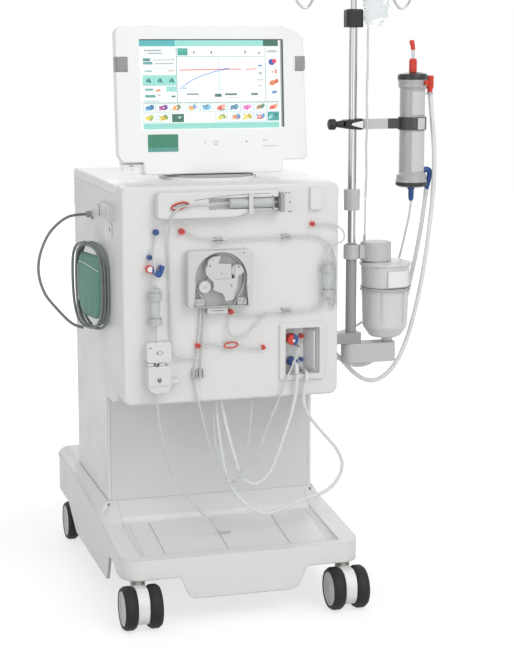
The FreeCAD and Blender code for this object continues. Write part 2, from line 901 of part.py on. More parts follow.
# Places that several pieces share.
HALF_DEPTH = s.base_depth / 2
PANEL_Y = -s.panel_reach
PANEL_FOOT = s.deck_height + s.panel_lift
PANEL_TOP = PANEL_FOOT + s.panel_height
PEDESTAL_Y = s.pedestal_setback - s.panel_reach
HALF_CABINET = s.cabinet_width / 2
INNER_HALF = HALF_CABINET - s.cabinet_wall - s.seam
RETURN_Y = s.panel_return - s.panel_reach
FRAME_TOP = s.base_ceiling - s.seam
FRAME_FOOT = FRAME_TOP - s.frame_thickness
POST_X = INNER_HALF - s.post_inset
ABOVE = s.deck_height + 60
CASTER_X = s.base_width / 2 - s.caster_inset
DIALYSER_FOOT = s.holder_z - s.dialyser_drop


def build_base_cover():
    """The moulded base: rims, a sloping tray, arches over the wheels, hollow underneath."""
    cover = new_body("base_cover", (0, 0, 0))
    outline = rectangle(s.base_width, s.base_depth, s.base_corner_radius)
    pad(cover, outline, s.deck_height - s.skirt_bottom, offset=s.skirt_bottom)
    across = s.base_width + 20
    from_left = -across / 2
    rim_void = [
        (-HALF_DEPTH - 10, s.base_front_height),
        (PEDESTAL_Y, s.base_shoulder_height),
        (s.base_level_y, s.deck_height),
        (s.base_level_y, ABOVE),
        (-HALF_DEPTH - 10, ABOVE),
    ]
    pocket(cover, rim_void, across, "YZ", from_left)
    for side in (-1, 1):
        bevel = [
            (side * (HALF_CABINET + s.deck_margin), s.deck_height),
            (side * (s.base_width / 2 + 10), s.base_rear_height),
            (side * (s.base_width / 2 + 10), ABOVE),
            (side * (HALF_CABINET + s.deck_margin), ABOVE),
        ]
        pocket(cover, bevel, s.base_depth + 20, "XZ", -HALF_DEPTH - 10)
    arches = [
        (-HALF_DEPTH - 10, 0),
        (HALF_DEPTH + 10, 0),
        (HALF_DEPTH + 10, s.base_underside),
        (s.side_arch_rear, s.base_underside, 30),
        (s.side_skirt_rear, s.skirt_bottom, 30),
        (s.side_skirt_front, s.skirt_bottom, 12),
        (s.side_skirt_front - 30, s.base_underside + 14, 14),
        (s.side_arch_front + 20, s.base_underside + 14, 14),
        (s.side_arch_front, s.base_underside),
        (-HALF_DEPTH - 10, s.base_underside),
    ]
    pocket(cover, arches, across, "YZ", from_left)
    hollow = rectangle(
        s.base_width - s.base_wall * 2, s.base_depth - s.base_wall * 2, s.base_corner_radius - s.base_wall
    )
    pocket(cover, hollow, s.base_ceiling)
    under_deck = rectangle(
        POST_X * 2 + s.post_width * 2, s.hollow_depth, None, 0, s.hollow_depth / 2 + PEDESTAL_Y + 12
    )
    pocket(cover, under_deck, s.deck_height - s.base_wall)
    skirt = [
        (-s.front_arch_half, s.base_underside + 6),
        (-s.front_arch_half + 10, s.base_underside - 4, 20),
        (-s.front_skirt_half - 14, s.skirt_bottom + 8, 14),
        (-s.front_skirt_half, s.skirt_bottom, 14),
        (s.front_skirt_half, s.skirt_bottom, 14),
        (s.front_skirt_half + 14, s.skirt_bottom + 8, 14),
        (s.front_arch_half - 10, s.base_underside - 4, 20),
        (s.front_arch_half, s.base_underside + 6),
    ]
    pad(cover, skirt, s.base_wall, "XZ", HALF_DEPTH - s.base_wall)
    plinth = [
        (PEDESTAL_Y, s.deck_height),
        (s.tray_ledge_y, s.tray_ledge_height, 8),
        (s.tray_ledge_y, s.tray_ledge_height - 20),
        (PEDESTAL_Y + 6, s.tray_ledge_height - 20),
        (PEDESTAL_Y + 6, s.deck_height),
    ]
    pad(cover, plinth, s.tray_half_width * 2, "YZ", -s.tray_half_width)
    deck_edge = [
        (PEDESTAL_Y, s.deck_height - s.base_wall),
        (s.base_level_y, s.deck_height - s.base_wall),
        (s.base_level_y, s.deck_height),
        (PEDESTAL_Y, s.deck_height),
    ]
    deck_half = HALF_CABINET + s.deck_margin
    pad(cover, deck_edge, deck_half * 2, "YZ", -deck_half)
    tray = [
        (s.tray_lip - HALF_DEPTH, ABOVE),
        (s.tray_lip - HALF_DEPTH, s.tray_floor_front, 10),
        (s.tray_ledge_y, s.tray_floor_rear, 5),
        (s.tray_ledge_y, ABOVE),
    ]
    pocket(cover, tray, s.tray_half_width * 2, "YZ", -s.tray_half_width)
    slope = (s.tray_floor_rear - s.tray_floor_front) / (s.tray_ledge_y - s.tray_lip + HALF_DEPTH)
    groove_front = s.tray_lip - HALF_DEPTH + 16
    groove_rear = s.tray_ledge_y - 14
    groove = [
        (groove_front, s.tray_floor_front + slope * 16 - s.groove_depth),
        (groove_rear, s.tray_floor_rear - slope * 14 - s.groove_depth),
        (groove_rear, s.tray_floor_rear + 3),
        (groove_front, s.tray_floor_front + 10),
    ]
    first = pocket(cover, groove, s.groove_width, "YZ", s.groove_first_x)
    repeat(cover, first, "X", s.groove_pitch * 2, 3)
    for across_post in (-1, 1):
        for deep in (s.post_front_y, s.post_rear_y):
            hole = rectangle(
                s.post_width + s.seam * 2, s.post_width + s.seam * 2, None, across_post * POST_X, deep
            )
            pocket(cover, hole, s.base_wall + 20, "XY", s.deck_height - s.base_wall - 10)
    node("base_cover", cover)


def build_base_frame():
    """The welded frame: two rails, cross bars, pads with bores for the casters, and four posts."""
    rail_length = s.caster_rear_y - s.caster_front_y
    pieces = []
    pads = []
    for side, name in ((-1, "left"), (1, "right")):
        corner = (side * CASTER_X - s.rail_width / 2, s.caster_front_y, FRAME_FOOT)
        pieces.append(block(f"rail_{name}", (s.rail_width, rail_length, s.frame_thickness), corner))
        for deep, end in ((s.caster_front_y, "front"), (s.caster_rear_y, "rear")):
            pads.append((f"{end}_{name}", side * CASTER_X, deep))
    for deep, end in ((s.caster_front_y, "front"), (s.post_front_y, "middle"), (s.post_rear_y, "back")):
        corner = (-CASTER_X, deep - s.rail_width / 2, FRAME_FOOT)
        pieces.append(block(f"cross_{end}", (CASTER_X * 2, s.rail_width, s.frame_thickness), corner))
    for side, name in ((-1, "left"), (1, "right")):
        for deep, end in ((s.post_front_y, "front"), (s.post_rear_y, "rear")):
            corner = (side * POST_X - s.post_width / 2, deep - s.post_width / 2, FRAME_FOOT)
            height = PANEL_TOP - s.top_thickness - s.seam - FRAME_FOOT
            pieces.append(block(f"post_{end}_{name}", (s.post_width, s.post_width, height), corner))
    for label, across, deep in pads:
        pieces.append(rod(f"pad_{label}", s.rail_width / 2, s.frame_thickness, (across, deep, FRAME_FOOT)))
    shelf_corner = (-POST_X, s.post_front_y - s.post_width / 2, s.shelf_height)
    shelf_depth = s.post_rear_y - s.post_front_y + s.post_width
    pieces.append(block("frame_shelf", (POST_X * 2, shelf_depth, s.shelf_thickness), shelf_corner))
    frame = joined("frame_weldment", *pieces)
    bores = [
        rod(f"bore_{label}", s.stem_radius + s.bearing_gap, s.frame_thickness + 20, (across, deep, FRAME_FOOT - 10))
        for label, across, deep in pads
    ]
    node("base_frame", without("base_frame", frame, joined("caster_bores", *bores)))


def build_caster(name, across, deep):
    """A twin-wheel caster: a housing with its stem and axle, and the pair of wheels."""
    axle_y = deep - s.caster_trail
    half = s.housing_width / 2
    rear = s.caster_trail + s.stem_radius + 4
    outline = [
        (-s.housing_radius, s.wheel_radius - s.housing_radius + 5, s.housing_radius - 6),
        (rear - 16, s.wheel_radius - s.housing_radius + 5, 22),
        (rear, s.wheel_radius, 20),
        (rear, s.wheel_radius + s.housing_radius + 4, 6),
        (-s.housing_radius, s.wheel_radius + s.housing_radius + 4, s.housing_radius - 6),
    ]
    web = slab(f"web_{name}", outline, s.housing_width, (across - half, axle_y, 0), "right")
    stem_foot = s.wheel_radius + s.housing_radius
    collar_top = FRAME_FOOT - s.running_gap
    stem_profile = [
        (0, stem_foot),
        (s.stem_collar_radius, stem_foot),
        (s.stem_collar_radius, collar_top),
        (s.stem_radius, collar_top),
        (s.stem_radius, FRAME_TOP - 1),
        (0, FRAME_TOP - 1),
    ]
    stem = turned(f"stem_{name}", stem_profile, (across, deep, 0))
    span = s.wheel_gap + s.tyre_width * 2 - s.hub_dish * 2 - 4
    axle = rod(f"axle_{name}", s.axle_radius, span, (across - span / 2, axle_y, s.wheel_radius), "right")
    node(f"caster_housing_{name}", joined(f"caster_housing_{name}", web, stem, axle))
    tyre_profile = [
        (s.hub_radius + s.seam / 5, 1),
        (s.wheel_radius - 5, 0),
        (s.wheel_radius, 7, 6),
        (s.wheel_radius, s.tyre_width - 7, 6),
        (s.wheel_radius - 5, s.tyre_width),
        (s.hub_radius + s.seam / 5, s.tyre_width - 1),
    ]
    hub_profile = [
        (s.axle_radius + s.bearing_gap, 2),
        (s.hub_radius, 2),
        (s.hub_radius, s.tyre_width - 1),
        (s.hub_radius - 4, s.tyre_width - 1),
        (s.hub_radius - 7, s.tyre_width - 1 - s.hub_dish),
        (s.axle_radius + s.bearing_gap, s.tyre_width - 1 - s.hub_dish),
    ]
    wheels = []
    for side, facing in ((-1, "left"), (1, "right")):
        place = (across + side * s.wheel_gap / 2, axle_y, s.wheel_radius)
        wheels.append(turned(f"tyre_{facing}_{name}", tyre_profile, place, facing))
        wheels.append(turned(f"hub_{facing}_{name}", hub_profile, place, facing))
    node(f"caster_wheels_{name}", *wheels)


def build_cabinet():
    """The column and the wide upper housing: panels, pedestal sheet, top cover and front fascia."""
    side_top = PANEL_TOP - s.top_thickness - s.seam
    side_foot = s.deck_height + s.seam
    side_outline = [
        (PEDESTAL_Y, side_foot),
        (s.cabinet_back, side_foot),
        (s.cabinet_back, side_top),
        (RETURN_Y + s.seam, side_top),
        (RETURN_Y + s.seam, PANEL_FOOT),
        (PEDESTAL_Y - s.gusset_depth, PANEL_FOOT - s.gusset_drop, 30),
        (PEDESTAL_Y, PANEL_FOOT - s.gusset_drop, 24),
    ]
    left = slab("side_panel_left", side_outline, s.cabinet_wall, (-HALF_CABINET, 0, 0), "right")
    right = slab(
        "side_panel_right", side_outline, s.cabinet_wall, (HALF_CABINET - s.cabinet_wall, 0, 0), "right"
    )
    rear_width = INNER_HALF * 2
    rear_height = side_top - side_foot
    rear = new_body("rear_panel", (0, s.cabinet_back - s.cabinet_wall / 2, side_foot), "back")
    pad(rear, rectangle(rear_width, rear_height, None, 0, rear_height / 2), s.cabinet_wall / 2)
    slot = rectangle(s.vent_length, s.vent_width, s.vent_width / 2 - 0.01, 0, s.vent_rise)
    vent = pocket(rear, slot, s.cabinet_wall)
    repeat(rear, vent, "Y", s.vent_pitch * 11, 12)
    inlet = rectangle(s.inlet_width, s.inlet_height, 3, s.inlet_x, s.inlet_rise)
    pocket(rear, inlet, s.cabinet_wall)
    node("cabinet_panels", left, right, rear)
    sheet_gap = s.cabinet_wall / 4
    fold = [
        (PEDESTAL_Y, side_foot),
        (PEDESTAL_Y + sheet_gap, side_foot),
        (PEDESTAL_Y + sheet_gap, PANEL_FOOT + sheet_gap),
        (RETURN_Y + s.seam, PANEL_FOOT + sheet_gap),
        (RETURN_Y + s.seam, PANEL_FOOT),
        (PEDESTAL_Y, PANEL_FOOT),
    ]
    node("pedestal_panel", slab("pedestal_panel", fold, INNER_HALF * 2, (-INNER_HALF, 0, 0), "right"))

    top_depth = s.cabinet_back - RETURN_Y - s.seam
    top_middle = (s.cabinet_back + RETURN_Y + s.seam) / 2
    top = new_body("top_cover", (0, 0, PANEL_TOP - s.top_thickness))
    outline = rectangle(s.cabinet_width, top_depth, None, 0, top_middle)
    pad(top, outline, s.top_thickness)
    rounded(top, s.top_edge_radius, lambda edge: at_height(s.top_thickness)(edge)
            and max(vertex.Y for vertex in edge.Vertexes) > float(RETURN_Y + s.seam) + 1)
    pad(top, ("circle", 0, s.turntable_y, s.turntable_radius), s.turntable_height + s.top_thickness)
    pocket(top, ("circle", 0, s.turntable_y, s.spigot_radius + s.bearing_gap), s.top_thickness * 2)
    node("top_cover", top)

    fascia = new_body("front_fascia", (0, RETURN_Y, PANEL_FOOT), "front")
    middle = s.panel_height / 2
    pad(fascia, rectangle(s.cabinet_width, s.panel_height, s.panel_corner_radius, 0, middle), s.panel_return)
    rounded(fascia, s.panel_edge_radius, at_height(s.panel_return))
    inner = rectangle(
        s.cabinet_width - s.cabinet_wall * 2, s.panel_height - s.cabinet_wall * 2,
        s.panel_corner_radius - s.cabinet_wall, 0, middle
    )
    pocket(fascia, inner, s.panel_return - s.cabinet_wall)
    tub_hole = rectangle(
        s.recess_width - s.recess_frame_wall + s.seam * 2,
        s.recess_height - s.recess_frame_wall + s.seam * 2,
        6, s.recess_x, s.recess_rise
    )
    pocket(fascia, tub_hole, s.panel_return)
    node("front_fascia", fascia)


def build_inner_units():
    """What the column holds: the hydraulic unit, the electrical modules and the pump's motor."""
    shelf_top = s.shelf_height + s.shelf_thickness + s.seam / 2
    front = s.post_front_y + s.post_width
    tank = block(
        "degassing_tank", (s.hydraulic_width, s.hydraulic_depth, s.hydraulic_height),
        (-s.hydraulic_width / 2, front, shelf_top)
    )
    pieces = [tank]
    for index, side in enumerate((-1, 1)):
        place = (side * s.gear_pump_x, front + 1, shelf_top + s.gear_pump_rise)
        pieces.append(rod(f"gear_pump_{index}", s.gear_pump_radius, s.gear_pump_length, place, "front"))
    heater_place = (0, front + s.hydraulic_depth / 2, shelf_top + s.hydraulic_height - 1)
    pieces.append(rod("heater_column", s.heater_radius, s.heater_height, heater_place))
    node("hydraulic_unit", joined("hydraulic_unit", *pieces))

    deck_top = s.deck_height + s.seam / 2
    supply = block(
        "power_supply", (s.power_width, s.power_depth, s.power_height),
        (-s.power_width / 2, s.cabinet_back - s.cabinet_wall / 2 - s.seam - s.power_depth, deck_top)
    )
    inlet = new_body(
        "mains_inlet",
        (0, s.cabinet_back - s.cabinet_wall / 2 - s.seam, s.deck_height + s.seam), "back"
    )
    outer = rectangle(
        s.inlet_width - s.seam * 2, s.inlet_height - s.seam * 2, 2.5, s.inlet_x, s.inlet_rise
    )
    pad(inlet, outer, s.cabinet_wall / 2 + 2)
    socket = rectangle(
        s.inlet_width - s.inlet_wall * 4, s.inlet_height - s.inlet_wall * 4, 2, s.inlet_x, s.inlet_rise
    )
    pocket(inlet, socket, s.inlet_depth, offset=s.cabinet_wall / 2 + 2 - s.inlet_wall)
    motor_foot = PANEL_Y + s.cabinet_wall + s.seam / 2
    motor = turned(
        "pump_motor_case",
        [(0, 0), (s.motor_radius, 0, 3), (s.motor_radius, s.motor_length, 5), (0, s.motor_length)],
        (s.pump_x, motor_foot, PANEL_FOOT + s.pump_rise), "back"
    )
    node("electrical_modules", supply, inlet, motor)


def build_monitor():
    """The swivelling stand, and the monitor that tilts on its pin."""
    stand_foot = PANEL_TOP + s.turntable_height + s.seam
    pin_z = PANEL_TOP + s.tilt_height
    neck_height = pin_z + s.neck_width / 10 - stand_foot
    disc = turned(
        "stand_disc",
        [
            (0, -s.top_thickness), (s.spigot_radius, -s.top_thickness), (s.spigot_radius, 0),
            (s.turntable_radius - 8, 0), (s.turntable_radius - 8, s.stand_thickness, 2), (0, s.stand_thickness),
        ],
        (0, s.turntable_y, stand_foot)
    )
    neck = new_body("stand_neck", (0, s.neck_y, stand_foot), "right")
    neck_outline = [
        (-s.neck_depth / 2, s.stand_thickness / 2), (s.neck_depth / 2, s.stand_thickness / 2),
        (s.neck_depth / 2, neck_height, 12), (-s.neck_depth / 2, neck_height, 12),
    ]
    pad(neck, neck_outline, s.neck_width, offset=-s.neck_width / 2)
    fork = [
        (-s.neck_depth, neck_height - s.lug_height), (s.neck_depth, neck_height - s.lug_height),
        (s.neck_depth, neck_height + 20), (-s.neck_depth, neck_height + 20),
    ]
    pocket(neck, fork, s.lug_width + s.seam * 2, offset=-s.lug_width / 2 - s.seam)
    pin = rod(
        "tilt_pin", s.tilt_pin_radius, s.neck_width - 10, (5 - s.neck_width / 2, s.neck_y, pin_z), "right"
    )
    node("monitor_stand", joined("monitor_stand", disc, neck, pin))

    foot = PANEL_TOP + s.monitor_lift
    back_y = s.monitor_face_y + s.bezel_depth
    bezel = new_body("monitor_bezel_shell", (0, back_y, foot), "screen")
    half = s.monitor_width / 2
    apron = -s.apron_height
    outline = [
        (-s.stand_lip_half, apron, 10), (s.stand_lip_half, apron, 6), (s.stand_lip_half, 0, 3),
        (half, 0, 10), (half - 6, s.monitor_height - s.monitor_shoulder, 16),
        (half - 56, s.monitor_height, 20), (-half, s.monitor_height, s.monitor_corner_radius),
        (-half, 18, 8), (12 - half, 0, 8), (-s.stand_lip_half, 0, 3),
    ]
    pad(bezel, outline, s.bezel_depth)
    rounded(bezel, 4, at_height(s.bezel_depth))
    screen_middle = s.screen_rise + s.screen_height / 2
    window = rectangle(s.screen_width, s.screen_height, 3, 0, screen_middle)
    pocket(bezel, window, s.bezel_depth, offset=s.bezel_depth - s.glass_seat)
    tabs = []
    for side, name in ((-1, "left"), (1, "right")):
        tab = new_body(f"alarm_tab_{name}", (0, back_y, foot), "screen")
        tab_middle = side * (half - s.tab_width / 2 - 3)
        tab_shape = rectangle(s.tab_width, s.tab_height, 4, tab_middle, s.tab_rise + s.tab_height / 2)
        pad(tab, tab_shape, 2, offset=s.bezel_depth)
        rounded(tab, 1, at_height(s.bezel_depth + 2))
        tabs.append(tab)
    node("monitor_bezel", bezel, *tabs)
    glass = new_body("monitor_glass", (0, back_y, foot), "screen")
    inside = s.seam
    pane = rectangle(s.screen_width - inside, s.screen_height - inside, 2.8, 0, screen_middle)
    pad(glass, pane, s.glass_thickness, offset=s.bezel_depth - s.glass_seat)
    node("monitor_glass", glass)

    rear = new_body("rear_shell", (0, back_y, foot), "screen back")
    rear_shape = rectangle(
        s.monitor_width - s.rear_shell_inset, s.monitor_height - s.rear_shell_inset, 18,
        0, s.monitor_height / 2
    )
    pad(rear, rear_shape, s.rear_shell_depth)
    rounded(rear, 16, at_height(s.rear_shell_depth))
    lip = new_body("rear_lip", (0, back_y, foot), "screen side")
    lip_shape = [
        (0, 16), (0, -s.apron_height + 1), (14, -s.apron_height + 1, 10), (s.lip_depth, -8, 6), (s.lip_depth, 16),
    ]
    pad(lip, lip_shape, s.stand_lip_half * 2, offset=-s.stand_lip_half)
    wedge = new_body("side_wedge", (0, back_y, foot), "screen side")
    wedge_shape = [(-10, -4), (-10, -26), (s.lip_depth, -6), (s.lip_depth, 14), (0, 14), (0, -4)]
    pad(wedge, wedge_shape, s.wedge_width, offset=-s.stand_lip_half - s.wedge_width)
    rib_slot = rectangle(s.lip_depth * 2, 2, None, 20, -16)
    rib = pocket(wedge, rib_slot, s.wedge_width / 2, offset=-s.stand_lip_half - s.wedge_width)
    repeat(wedge, rib, "Y", 8, 2)
    pin_rise = pin_z - foot
    lug_reach = s.neck_y - back_y
    lug = new_body("tilt_lug", (0, back_y, foot), "right")
    lug_shape = [
        (20, pin_rise - s.lug_height / 2 + 4), (lug_reach, pin_rise - s.lug_height / 2 + 4, 4),
        (lug_reach + s.tilt_pin_radius + 6, pin_rise, 10), (lug_reach, pin_rise + 16, 6),
        (20, pin_rise + 24),
    ]
    pad(lug, lug_shape, s.lug_width, offset=-s.lug_width / 2)
    pocket(lug, ("circle", lug_reach, pin_rise, s.tilt_pin_radius + s.bearing_gap), s.lug_width,
           offset=-s.lug_width / 2)
    node("monitor_rear", joined("monitor_rear", rear, lip, wedge, lug))


def on_panel(across, rise):
    """A place on the front face of the fascia, counted up from the fascia's foot."""
    return (across, PANEL_Y, PANEL_FOOT + rise)


def build_syringe_pump():
    """The syringe pump's body with its trough, the syringe, the pusher and the hold-down clip."""
    left = s.syringe_x - s.syringe_width / 2
    right = s.syringe_x + s.syringe_width / 2
    half = s.syringe_height / 2
    outline = [
        (left, -half, 10), (right - s.syringe_taper - 40, -half, 6),
        (right - s.syringe_taper, -half / 2, 10), (right, -half / 2, 3), (right, half, 4), (left, half, 10),
    ]
    body = new_body("syringe_pump_body", on_panel(0, s.syringe_rise), "front")
    pad(body, outline, s.syringe_depth)
    rounded(body, 4, at_height(s.syringe_depth))
    trough = ("circle", s.barrel_up, s.syringe_depth - s.barrel_sink, s.barrel_radius + s.barrel_gap)
    pocket(body, trough, s.syringe_width, "YZ", s.barrel_x - s.nozzle_length - s.nozzle_room)
    open_front = [
        (s.barrel_up - s.barrel_radius - s.barrel_gap, s.syringe_depth - s.barrel_sink),
        (s.barrel_up + s.barrel_radius + s.barrel_gap, s.syringe_depth - s.barrel_sink),
        (s.barrel_up + s.barrel_radius + s.barrel_gap, s.syringe_depth + 10),
        (s.barrel_up - s.barrel_radius - s.barrel_gap, s.syringe_depth + 10),
    ]
    pocket(body, open_front, s.syringe_width, "YZ", s.barrel_x - s.nozzle_length - s.nozzle_room)
    flange_half = s.flange_radius + s.seam
    flange_slot = [
        (s.barrel_up - flange_half, s.syringe_depth - s.barrel_sink - flange_half),
        (s.barrel_up + flange_half, s.syringe_depth - s.barrel_sink - flange_half),
        (s.barrel_up + flange_half, s.syringe_depth + 10),
        (s.barrel_up - flange_half, s.syringe_depth + 10),
    ]
    pocket(body, flange_slot, 3, "YZ", s.barrel_x + s.barrel_length - 2.5)
    axis_y = PANEL_Y - s.syringe_depth + s.barrel_sink
    axis_z = PANEL_FOOT + s.syringe_rise + s.barrel_up
    bore = s.barrel_radius - 1.2
    barrel_profile = [
        (1.2, -s.nozzle_length), (2.6, -s.nozzle_length), (3.2, -4), (s.barrel_radius, 0, 1),
        (s.barrel_radius, s.barrel_length - 2), (s.flange_radius, s.barrel_length - 2),
        (s.flange_radius, s.barrel_length), (bore, s.barrel_length), (bore, 3), (1.2, 1),
    ]
    node("syringe_pump_body", body)
    barrel = turned("syringe_barrel", barrel_profile, (s.barrel_x, axis_y, axis_z), "right")
    node("syringe_barrel", barrel)

    stopper = s.barrel_length - s.plunger_travel - 26
    rod_end = s.pusher_x - s.barrel_x
    seal = bore - s.running_gap
    plunger_profile = [
        (0, stopper - 8), (seal, stopper - 6), (seal, stopper), (3.5, stopper + 1),
        (3.5, rod_end - 2), (s.barrel_radius, rod_end - 2), (s.barrel_radius, rod_end), (0, rod_end),
    ]
    plunger = turned("plunger", plunger_profile, (s.barrel_x, axis_y, axis_z), "right")
    pusher_y = PANEL_Y - s.running_gap
    pusher_shape = rectangle(s.pusher_width, s.pusher_height, 3)
    pusher = slab(
        "pusher_head", pusher_shape, s.syringe_depth + 8,
        (s.pusher_x + s.pusher_width / 2 + s.seam / 2, pusher_y, axis_z), "front", 2
    )
    node("syringe_pusher", plunger, pusher)

    clip_shape = [
        (-s.clip_bar_width / 2, -s.barrel_radius - 12, 3), (s.clip_bar_width / 2, -s.barrel_radius - 12, 3),
        (s.clip_bar_width / 2, s.barrel_radius + 10, 3), (-s.clip_bar_width / 2, s.barrel_radius + 10, 3),
    ]
    clip_y = axis_y - s.barrel_radius - s.running_gap
    bar = slab("syringe_clip_bar", clip_shape, 4, (s.clip_bar_x, clip_y, axis_z), "front", 1.5)
    foot_reach = PANEL_Y - s.syringe_depth - s.seam / 2 - clip_y
    foot = slab(
        "syringe_clip_foot", rectangle(s.clip_bar_width, 6, None, 0, s.barrel_radius + 6), foot_reach + 1,
        (s.clip_bar_x, PANEL_Y - s.syringe_depth - s.seam / 2, axis_z)
    )
    node("syringe_clip", joined("syringe_clip", bar, foot))


def build_blood_pump():
    """The pump's housing with its raceway, the rotor, and its two rollers on their pins."""
    half_w, half_h = s.pump_width / 2, s.pump_height / 2
    housing = new_body("pump_shell", on_panel(s.pump_x, s.pump_rise), "front")
    pad(housing, rectangle(s.pump_width, s.pump_height, s.pump_corner_radius), s.pump_depth)
    rounded(housing, 4, at_height(s.pump_depth))
    floor = s.pump_depth - s.race_depth
    pocket(housing, ("circle", s.rotor_x, 0, s.race_radius), s.race_depth, offset=floor)
    mouth = [
        (s.rotor_x - s.race_radius + 2, 0), (s.rotor_x - s.mouth_half, -half_h + 3),
        (s.rotor_x + s.mouth_half, -half_h + 3), (s.rotor_x + s.race_radius - 2, 0),
    ]
    pocket(housing, mouth, s.race_depth, offset=floor)
    gates = []
    for side, name in ((-1, "left"), (1, "right")):
        gate_shape = rectangle(s.gate_width, s.gate_height, 2, side * s.gate_reach, 0)
        gates.append(slab(
            f"line_gate_{name}", gate_shape, s.race_depth - 4,
            (s.pump_x + s.rotor_x, PANEL_Y - floor - s.seam / 5,
             PANEL_FOOT + s.pump_rise - half_h + 3 + s.gate_height / 2 + s.seam / 2), "front", 2
        ))
    latch = slab(
        "line_latch", rectangle(s.latch_width, s.latch_height, 3), s.pump_depth - 6,
        (s.pump_x + s.latch_x, PANEL_Y, PANEL_FOOT + s.pump_rise - half_h - s.latch_height / 2 - s.seam / 2),
        "front", 3
    )
    node("pump_housing", housing, latch, *gates)

    spin_x = s.pump_x + s.rotor_x
    spin_z = PANEL_FOOT + s.pump_rise
    plate_y = PANEL_Y - floor - s.running_gap
    angle = math.radians(float(s.roller_angle))
    cosine, sine = math.cos(angle), math.sin(angle)
    centre = (spin_x, plate_y, spin_z)
    pieces = [rod("rotor_hub", s.rotor_hub_radius, s.rotor_plate, centre, "front")]
    rooms = []
    places = []
    room_foot = plate_y - s.rotor_plate
    ear_depth = s.roller_length + s.running_gap
    for sign, name, reach in ((1, "left", s.rotor_depth), (-1, "right", ear_depth)):
        across = sign * s.roller_reach * cosine
        up = sign * s.roller_reach * sine
        places.append((name, spin_x + across, spin_z + up))
        ear = ("circle", across, up, s.roller_radius - 2)
        pieces.append(slab(f"rotor_ear_{name}", ear, s.rotor_plate, centre, "front"))
        bridge_half = s.roller_radius - 4
        bridge = [
            (-sine * bridge_half, cosine * bridge_half),
            (across - sine * bridge_half, up + cosine * bridge_half),
            (across + sine * bridge_half, up - cosine * bridge_half),
            (sine * bridge_half, -cosine * bridge_half),
        ]
        pieces.append(slab(f"rotor_arm_{name}", bridge, s.rotor_plate, centre, "front"))
        roller_place = (spin_x + across, room_foot, spin_z + up)
        rooms.append(rod(f"roller_room_{name}", s.roller_radius + s.roller_room, reach, roller_place, "front"))
        pieces.append(rod(f"roller_pin_{name}", s.roller_pin_radius, s.roller_pin_length, roller_place, "front"))
    raised = slab("rotor_raised", ROTOR_OUTLINE, s.rotor_depth, centre, "front", 1)
    cleared = without("rotor_cleared", raised, joined("roller_rooms", *rooms))
    node("pump_rotor", joined("pump_rotor", cleared, *pieces))
    for name, across, up in places:
        foot, top = s.running_gap, s.roller_length
        profile = [
            (s.roller_pin_radius + s.bearing_gap, foot), (s.roller_radius, foot, 1.5),
            (s.roller_radius, top, 1.5), (s.roller_pin_radius + s.bearing_gap, top),
        ]
        place = (across, room_foot, up)
        node(f"pump_roller_{name}", turned(f"pump_roller_{name}", profile, place, "front"))


